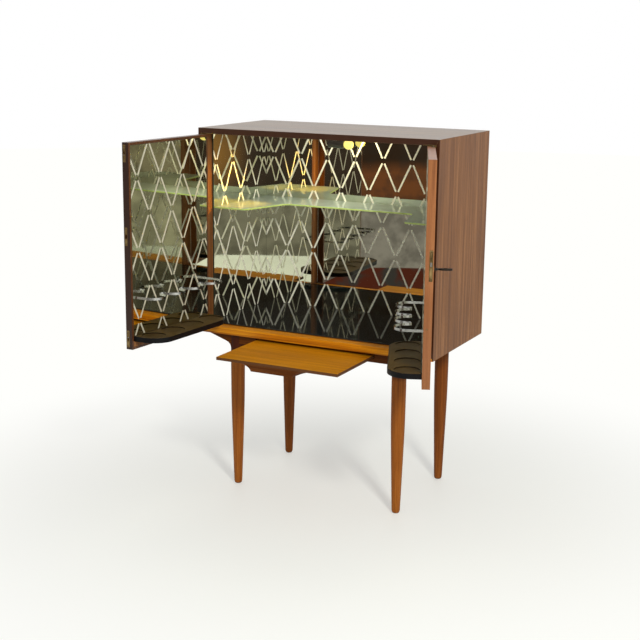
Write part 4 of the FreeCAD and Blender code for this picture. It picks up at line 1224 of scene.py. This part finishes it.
@dataclass(frozen=True)
class Carcass:
    """The box: panels, back and linings."""

    side_spacing: float = 0.115
    back_spacing: float = 0.113
    row: float = 0.1175
    row_height: float = 1.165
    lift: float = 0.0001

    def build(self, shop: Workshop) -> None:
        """Builds and dresses the carcass.

        Args:
            shop: The frame, finishes and trees.
        """
        for finish, edge, *nodes in (
                ("teak_top", Edge.WORKED, "top_panel"),
                ("teak_side", Edge.WORKED, "left_side_panel", "right_side_panel"),
                ("teak_bottom", Edge.WORKED, "bottom_panel"), ("back_veneer", Edge.CUT, "back_panel"),
                ("black_glass", Edge.WORKED, "floor_glass"), ("clear_glass", Edge.GROUND, "glass_shelf"),
                ("patterned_mirror", Edge.CUT, "back_mirror", "left_side_mirror", "right_side_mirror")):
            shop.soften(Body.CABINET, finish, edge, *nodes)
        shop.dress("aged_brass", "shelf_pins")
        shop.dress("black_bakelite", "cable_outlet")
        shop.screw(Body.CABINET, "aged_brass", "back_panel_screws")
        self.lattices(shop)

    def lattices(self, shop: Workshop) -> None:
        """Lays the lattice on the back and side mirrors.

        Args:
            shop: The frame, finishes and trees.
        """
        left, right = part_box("left_side_mirror"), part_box("right_side_mirror")
        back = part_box("back_mirror")
        floor, ceiling = left[0].z, left[1].z
        middle = (left[1].x + right[0].x) / 2
        face = back[0].y - self.lift
        depth = (left[0].y + face) / 2
        shop.lay(Pane("back_lattice", Body.CABINET, self.back_spacing, self.row,
                      middle + self.back_spacing / 2, self.row_height, (left[1].x, right[0].x),
                      (floor, ceiling), Matrix.Translation((0.0, face, 0.0))))
        for name, face_x, turn in (("left_side_lattice", left[1].x + self.lift, 1.0),
                                   ("right_side_lattice", right[0].x - self.lift, -1.0)):
            stand = Matrix(((0.0, turn, 0.0, face_x), (1.0, 0.0, 0.0, 0.0), (0.0, 0.0, 1.0, 0.0),
                            (0.0, 0.0, 0.0, 1.0)))
            shop.lay(Pane(name, Body.CABINET, self.side_spacing, self.row, depth + self.side_spacing / 2,
                          self.row_height, (left[0].y, face), (floor, ceiling), stand))


def hang_light(light: bpy.types.Light, place: Vector) -> bpy.types.Object:
    """Puts a light in its place, where no mirror shows it.

    Args:
        light: The light.
        place: Where it goes, in metres.

    Returns:
        The light's object.
    """
    lamp = bpy.data.objects.new(light.name, light)
    lamp.location = place
    lamp.rotation_mode = "QUATERNION"
    lamp.visible_glossy = False
    bpy.context.scene.collection.objects.link(lamp)
    return lamp


@dataclass(frozen=True)
class Lamp:
    """The small lamp under the top."""

    colour: Colour = (1.0, 0.76, 0.32)
    power: float = 0.38
    radius: float = 0.012
    beside: float = 0.018
    below: float = 0.004
    glow_power: float = 18.0
    glow_radius: float = 0.02
    glow_angle: float = 56.0
    glow_colour: Colour = (1.0, 0.55, 0.02)
    glow_place: tuple[float, float, float] = (-0.09, -0.03, -0.02)
    glow_aim: tuple[float, float, float] = (0.0, 0.08, 0.04)
    ceiling_power: float = 1.3
    ceiling_colour: Colour = (1.0, 0.96, 0.80)
    ceiling_share: float = 0.35
    ceiling_middle: float = 0.40
    ceiling_gap: float = 0.003

    def build(self, shop: Workshop) -> None:
        """Dresses the lamp and lights it.

        Args:
            shop: The frame, finishes and trees.
        """
        shop.soften(Body.CABINET, "plain_steel", Edge.BENT, "lamp_bracket")
        shop.dress("black_bakelite", "lamp_holder")
        shop.dress("warm_bulb", "lamp_bulb")
        shop.screw(Body.CABINET, "plain_steel", "lamp_screws")
        low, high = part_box("lamp_bulb")
        middle = Vector((high.x + self.beside, (low.y + high.y) / 2, (low.z + high.z) / 2 - self.below))
        light = bpy.data.lights.new("bulb_light", "POINT")
        light.color, light.energy, light.shadow_soft_size = self.colour, self.power, self.radius
        hang_light(light, middle)
        glow = bpy.data.lights.new("left_glow", "SPOT")
        glow.color, glow.energy, glow.shadow_soft_size = self.glow_colour, self.glow_power, self.glow_radius
        glow.spot_size, glow.spot_blend = math.radians(self.glow_angle), 1.0
        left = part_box("left_side_mirror")
        aim = Vector((left[1].x, left[0].y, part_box("glass_shelf")[1].z)) + Vector(self.glow_aim)
        start = Vector((low.x, low.y, middle.z)) + Vector(self.glow_place)
        hang_light(glow, start).rotation_quaternion = (aim - start).to_track_quat("-Z", "Y")
        back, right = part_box("back_mirror")[0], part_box("right_side_mirror")[0]
        width = right.x - left[1].x
        bounce = bpy.data.lights.new("ceiling_bounce", "AREA")
        bounce.shape, bounce.size, bounce.size_y = "RECTANGLE", width * self.ceiling_share, back.y - left[0].y
        bounce.energy, bounce.color = self.ceiling_power, self.ceiling_colour
        hang_light(bounce, Vector((left[1].x + width * self.ceiling_middle, (left[0].y + back.y) / 2,
                                  left[1].z - self.ceiling_gap)))


@dataclass(frozen=True)
class Base:
    """Legs, rails, corner wings and runners."""

    def build(self, shop: Workshop) -> None:
        """Dresses the base.

        Args:
            shop: The frame, finishes and trees.
        """
        shop.dress("teak_leg", "front_left_leg", "front_right_leg")
        shop.dress("teak_back_leg", "back_left_leg", "back_right_leg")
        shop.dress("glide_plastic", "foot_glides")
        shop.soften(Body.CABINET, "teak_rail", Edge.WORKED, "front_rail", "back_rail")
        shop.soften(Body.CABINET, "teak_side_rail", Edge.WORKED, "left_rail", "right_rail")
        shop.soften(Body.CABINET, "teak_rail", Edge.WORKED, "corner_wings")
        shop.soften(Body.CABINET, "beech_runner", Edge.PLANED, "tray_runners")
        shop.screw(Body.CABINET, "plain_steel", "underside_screws")


@dataclass(frozen=True)
class Tray:
    """The pull-out tray."""

    def build(self, shop: Workshop) -> None:
        """Dresses the tray.

        Args:
            shop: The frame, finishes and trees.
        """
        shop.soften(Body.TRAY, "teak_tray", Edge.PLANED, "tray_board")
        shop.soften(Body.TRAY, "teak_grip", Edge.SHAPED, "tray_grip")
        shop.dress("beech_runner", "tray_stop_pins")


@dataclass(frozen=True)
class Door:
    """One door with all that rides on it."""

    hand: Hand
    open_degrees: float
    pin: tuple[float, float] = (0.435, -0.235)
    mirror_face: float = 0.025
    pane: tuple[float, float] = (0.0095, 0.4252)
    spacing: float = 0.122
    row: float = 0.118
    node: tuple[float, float] = (0.0275, 1.154)
    lift: float = 0.0001

    @property
    def body(self) -> Body:
        """The body that the door's pieces ride on."""
        return Body.LEFT_DOOR if self.hand is Hand.LEFT else Body.RIGHT_DOOR

    def stand(self) -> Matrix:
        """Finds where the door stands.

        Returns:
            The matrix from the door's own plane, width and height along X and Z, to the open door.
        """
        low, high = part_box("top_panel")
        middle = (low + high) / 2
        side = self.hand.value
        angle = math.radians(self.open_degrees) * side
        width = Vector((math.cos(angle), math.sin(angle), 0.0)) * -side
        inward = Vector((-math.sin(angle), math.cos(angle), 0.0))
        origin = Vector((middle.x + side * self.pin[0], middle.y + self.pin[1], 0.0))
        face = origin + inward * (self.mirror_face + self.lift)
        matrix = Matrix.Identity(4)
        for column, vector in enumerate((width, inward, Vector((0.0, 0.0, 1.0)), face)):
            matrix.col[column][:3] = vector
        return matrix

    def build(self, shop: Workshop) -> None:
        """Builds and dresses the door.

        Args:
            shop: The frame, finishes and trees.
        """
        side = self.hand.name.lower()
        for finish, edge, node in (
                ("teak_door", Edge.WORKED, "door_panel"),
                (f"teak_{side}_lipping", Edge.WORKED, "door_lipping"),
                ("patterned_mirror", Edge.CUT, "door_mirror"),
                ("black_lacquer", Edge.ROUTED, "door_shelf"),
                ("bronze_inlay", Edge.INLAID, "door_shelf_inlay"),
                ("chrome_strip", Edge.PLATED, "bottle_holder"),
                ("aged_brass", Edge.STAMPED, "hinge_leaves")):
            shop.soften(self.body, finish, edge, f"{side}_{node}")
        shop.screw(self.body, "aged_brass", side + "_door_screws")
        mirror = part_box(side + "_door_mirror")
        shop.lay(Pane(side + "_door_lattice", self.body, self.spacing, self.row, *self.node, self.pane,
                      (mirror[0].z, mirror[1].z), self.stand(), "etched_door_line"))


@dataclass(frozen=True)
class Ironmongery:
    """Hinges, lock, key and bolts."""

    def build(self, shop: Workshop) -> None:
        """Dresses the fittings.

        Args:
            shop: The frame, finishes and trees.
        """
        shop.soften(Body.CABINET, "aged_brass", Edge.STAMPED, "cabinet_hinge_leaves")
        shop.screw(Body.CABINET, "aged_brass", "cabinet_hinge_screws")
        for body, finish, edge, *nodes in (
                (Body.LEFT_DOOR, "aged_brass", Edge.STAMPED, "strike_plate", "flush_bolt_plates"),
                (Body.RIGHT_DOOR, "aged_brass", Edge.STAMPED, "lock_face_plate"),
                (Body.RIGHT_DOOR, "aged_brass", Edge.PRESSED, "escutcheon"),
                (Body.RIGHT_DOOR, "plain_steel", Edge.FOLDED, "lock_case"),
                (Body.KEY, "key_black", Edge.FORGED, "key"),
                (Body.LOCK_BOLT, "plain_steel", Edge.FORGED, "lock_bolt"),
                (Body.TOP_BOLT, "plain_steel", Edge.STAMPED, "top_flush_bolt"),
                (Body.BOTTOM_BOLT, "plain_steel", Edge.STAMPED, "bottom_flush_bolt")):
            shop.soften(body, finish, edge, *nodes)
        shop.dress("aged_brass", "buffer_stud")


# Studio


@dataclass(frozen=True)
class SoftBox:
    """A square lamp that looks at the cabinet."""

    name: str
    place: tuple[float, float, float]
    size: float
    power: float
    colour: Colour
    target: tuple[float, float, float] = (0.0, 0.1, 0.8)

    def build(self) -> None:
        """Hangs the lamp."""
        light = bpy.data.lights.new(self.name, "AREA")
        light.size, light.energy, light.color = self.size, self.power, self.colour
        way = Vector(self.target) - Vector(self.place)
        hang_light(light, Vector(self.place)).rotation_quaternion = way.to_track_quat("-Z", "Y")


@dataclass(frozen=True)
class Screen:
    """A curved screen of cloth that only reflections see."""

    name: str
    radius: float
    arc: tuple[float, float]
    rise: tuple[float, float]
    steps: int = 64

    def build(self, r: Recipe, tone: Socket) -> None:
        """Stands the screen round the front.

        Args:
            r: The recipe of its cloth.
            tone: The cloth's colour.
        """
        mesh = bpy.data.meshes.new(self.name)
        points, faces = [], []
        for i in range(self.steps + 1):
            angle = math.radians(self.arc[0] + (self.arc[1] - self.arc[0]) * i / self.steps)
            points += [(self.radius * math.cos(angle), self.radius * math.sin(angle), z) for z in self.rise]
            if i:
                faces.append((2 * i - 2, 2 * i, 2 * i + 1, 2 * i - 1))
        mesh.from_pydata(points, [], faces)
        mesh.materials.append(r.ended(r.out("ShaderNodeEmission", sockets={0: tone, 1: 1.0})))
        flag = bpy.data.objects.new(self.name, mesh)
        flag.visible_camera = flag.visible_diffuse = flag.visible_shadow = flag.visible_transmission = False
        flag.visible_volume_scatter = False
        bpy.context.scene.collection.objects.link(flag)


@dataclass(frozen=True)
class Studio:
    """A pale floor that fades out, soft light, and dark flags that only reflections see."""

    floor_tone: Colour = (0.95, 0.97, 0.90)
    floor_glow: Colour = (1.0, 1.0, 0.975)
    floor_radius: float = 14.0
    floor_sides: int = 96
    floor_wear: float = 0.4
    floor_worn_share: float = 0.97
    floor_roughness: float = 0.55
    fade: tuple[float, float] = (0.5, 1.9)
    veil: float = 0.36
    daylight: float = 0.51
    lamps: tuple[SoftBox, ...] = (SoftBox("key_light", (2.60, -2.80, 2.75), 0.5, 116.0, (1.0, 0.985, 0.96)),
                                  SoftBox("fill_light", (-2.6, -3.4, 2.4), 2.4, 3.0, (0.97, 0.985, 1.0)))
    flags: Screen = Screen("flags", 3.7, (-215.0, 35.0), (0.02, 3.2))
    low_flag: Screen = Screen("low_flag", 2.9, (-126.0, -103.0), (0.0, 0.17))
    # The flags' tones from the floor up: each tone, then the shares of the height between which it is plain.
    left_bands: tuple = (((0.27, 0.245, 0.21), 0.0, 0.125), ((0.03, 0.02, 0.015), 0.14),
                         ((0.17, 0.060, 0.022), 0.165, 0.215), ((0.035, 0.02, 0.012), 0.24, 0.60))
    right_bands: tuple = (((0.28, 0.26, 0.21), 0.0, 0.12), ((0.062, 0.042, 0.034), 0.165, 0.60))
    side_bands: tuple = (((0.58, 0.54, 0.44), 0.0, 0.12), ((0.40, 0.34, 0.26), 0.165, 0.60))
    top_band: tuple = ((0.90, 0.92, 0.88), 0.66)
    middle_step: tuple[float, float] = (-0.4, 0.6)
    side_step: tuple[float, float] = (1.88, 2.02)
    # Warm patches on the flags: place along X, height, how much narrower than high, and tone.
    warm_spots: tuple = ((1.92, 0.76, 2.4, (0.36, 0.18, 0.055)), (2.47, 0.84, 30.0, (0.50, 0.34, 0.08)))
    spot_reach: float = 0.40
    cloud_lift: float = 0.22
    mottle_tone: Colour = (0.035, 0.028, 0.022)
    mottle_top: tuple[float, float] = (0.60, 0.50)
    mottle_share: float = 0.45
    low_tones: tuple[Colour, Colour] = ((0.085, 0.020, 0.011), (0.045, 0.040, 0.036))

    def build(self) -> None:
        """Builds floor, world, lamps and flags."""
        self.lay_floor()
        self.light_world()
        for lamp in self.lamps:
            lamp.build()
        self.stand_flags()

    def lay_floor(self) -> None:
        """Lays the floor."""
        mesh = bpy.data.meshes.new("floor")
        shape = bmesh.new()
        bmesh.ops.create_circle(shape, cap_ends=True, segments=self.floor_sides, radius=self.floor_radius)
        shape.to_mesh(mesh)
        shape.free()
        r = Recipe.named("studio_floor")
        xyz = r.parts(r.place())
        reach = (xyz["X"] * xyz["X"] + xyz["Y"] * xyz["Y"]).maths("SQRT")
        eye = Signal(r, r.add("ShaderNodeLightPath").outputs["Is Camera Ray"])
        colour = r.blend(r.figure(Figure.FLOOR_PAINT) * self.floor_wear, self.floor_tone,
                         scaled(self.floor_tone, self.floor_worn_share))
        matt = r.out("ShaderNodeBsdfPrincipled", sockets={
            "Base Color": colour, "Roughness": self.floor_roughness})
        glow = r.out("ShaderNodeEmission", sockets={0: self.floor_glow, 1: 1.0})
        share = (reach.smooth(*self.fade) * (1.0 - self.veil) + self.veil) * eye
        mesh.materials.append(r.ended(r.out("ShaderNodeMixShader", sockets={0: share, 1: matt, 2: glow})))
        floor = bpy.data.objects.new("floor", mesh)
        bpy.context.scene.collection.objects.link(floor)

    def light_world(self) -> None:
        """Sets a white background and an even daylight."""
        world = bpy.data.worlds.new("studio")
        bpy.context.scene.world = world
        world.use_nodes = True
        world.node_tree.nodes.clear()
        w = Wiring(world.node_tree)
        path = w.add("ShaderNodeLightPath").outputs
        seen = (Signal(w, path["Is Camera Ray"]) + Signal(w, path["Is Glossy Ray"])
                + Signal(w, path["Is Transmission Ray"])).maths("MINIMUM", 1.0)
        strength = seen * (1.0 - self.daylight) + self.daylight
        light = w.out("ShaderNodeBackground", sockets={0: (1.0, 1.0, 1.0), 1: strength})
        w.add("ShaderNodeOutputWorld", sockets={0: light})

    def stand_flags(self) -> None:
        """Stands curved dark flags round the front, which the mirrors and metal reflect."""
        r = Recipe.named("flag_cloth")
        xyz = r.parts(r.place())
        height = (xyz["Z"] + (r.figure(Figure.FLAG_CLOUD) - 0.5) * self.cloud_lift) / self.flags.rise[1]
        left, right, sides = (
            r.ramp(height, [(level, tone) for tone, *levels in (*bands, self.top_band) for level in levels])
            for bands in (self.left_bands, self.right_bands, self.side_bands))
        tone = r.blend(xyz["X"].smooth(*self.middle_step), left, right)
        tone = r.blend(abs(xyz["X"]).smooth(*self.side_step), tone, sides)
        mottle = r.figure(Figure.FLAG_MOTTLE).smooth(0.42, 0.62) * height.smooth(*self.mottle_top)
        tone = r.blend(mottle * self.mottle_share, tone, self.mottle_tone)
        for middle, level, narrowness, warm in self.warm_spots:
            x, z = xyz["X"] - middle, xyz["Z"] - level
            near = (x * x * narrowness + z * z).maths("SQRT").smooth(self.spot_reach, 0.0)
            tone = r.blend(near, tone, warm)
        self.flags.build(r, tone)
        r = Recipe.named("low_flag_cloth")
        folds = r.figure(Figure.LOW_FOLDS).smooth(0.45, 0.6)
        self.low_flag.build(r, r.blend(folds, *self.low_tones))


@dataclass(frozen=True)
class PhotoCamera:
    """The camera at the photograph's place, worked out from the cabinet's corners."""

    place: tuple[float, float, float] = (1.93231, -4.01237, 1.62064)
    yaw: float = -0.466
    pitch: float = 0.2236
    roll: float = 0.0116
    lens_share: float = 1268.2569 / 640.0
    sensor: float = 36.0
    clip: tuple[float, float] = (0.05, 100.0)

    def build(self) -> None:
        """Sets the scene's camera."""
        low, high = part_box("top_panel")
        middle = (low + high) / 2
        forward = math.cos(self.pitch)
        ahead = Vector((math.sin(self.yaw) * forward, math.cos(self.yaw) * forward, -math.sin(self.pitch)))
        level = Vector((math.cos(self.yaw), -math.sin(self.yaw), 0.0))
        upright = level.cross(ahead)
        right = level * math.cos(self.roll) + upright * math.sin(self.roll)
        up = upright * math.cos(self.roll) - level * math.sin(self.roll)
        data = bpy.data.cameras.new("camera")
        data.sensor_fit, data.sensor_width, data.lens = "AUTO", self.sensor, self.sensor * self.lens_share
        data.clip_start, data.clip_end = self.clip
        camera = bpy.data.objects.new("camera", data)
        camera.rotation_mode = "QUATERNION"
        camera.rotation_quaternion = Matrix((right, up, -ahead)).transposed().to_quaternion()
        camera.location = (self.place[0] + middle.x, self.place[1] + middle.y, self.place[2])
        bpy.context.scene.collection.objects.link(camera)
        bpy.context.scene.camera = camera


def main() -> None:
    """Builds the cabinet's looks, the studio and the camera in order."""
    logging.basicConfig(level=logging.INFO, format="%(name)s: %(message)s")
    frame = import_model()
    PhotoCamera().build()
    shop = Workshop(frame, Palette(), LatticeTree.build(), ScrewTree.build())
    for assembly in (Carcass(), Lamp(), Base(), Tray(), Door(Hand.LEFT, open_degrees=93.8),
                     Door(Hand.RIGHT, open_degrees=112.5), Ironmongery()):
        LOG.info("building %s", type(assembly).__name__)
        assembly.build(shop)
    Studio().build()
    bpy.context.scene.view_settings.view_transform = "Standard"


if __name__ == "__main__":
    main()
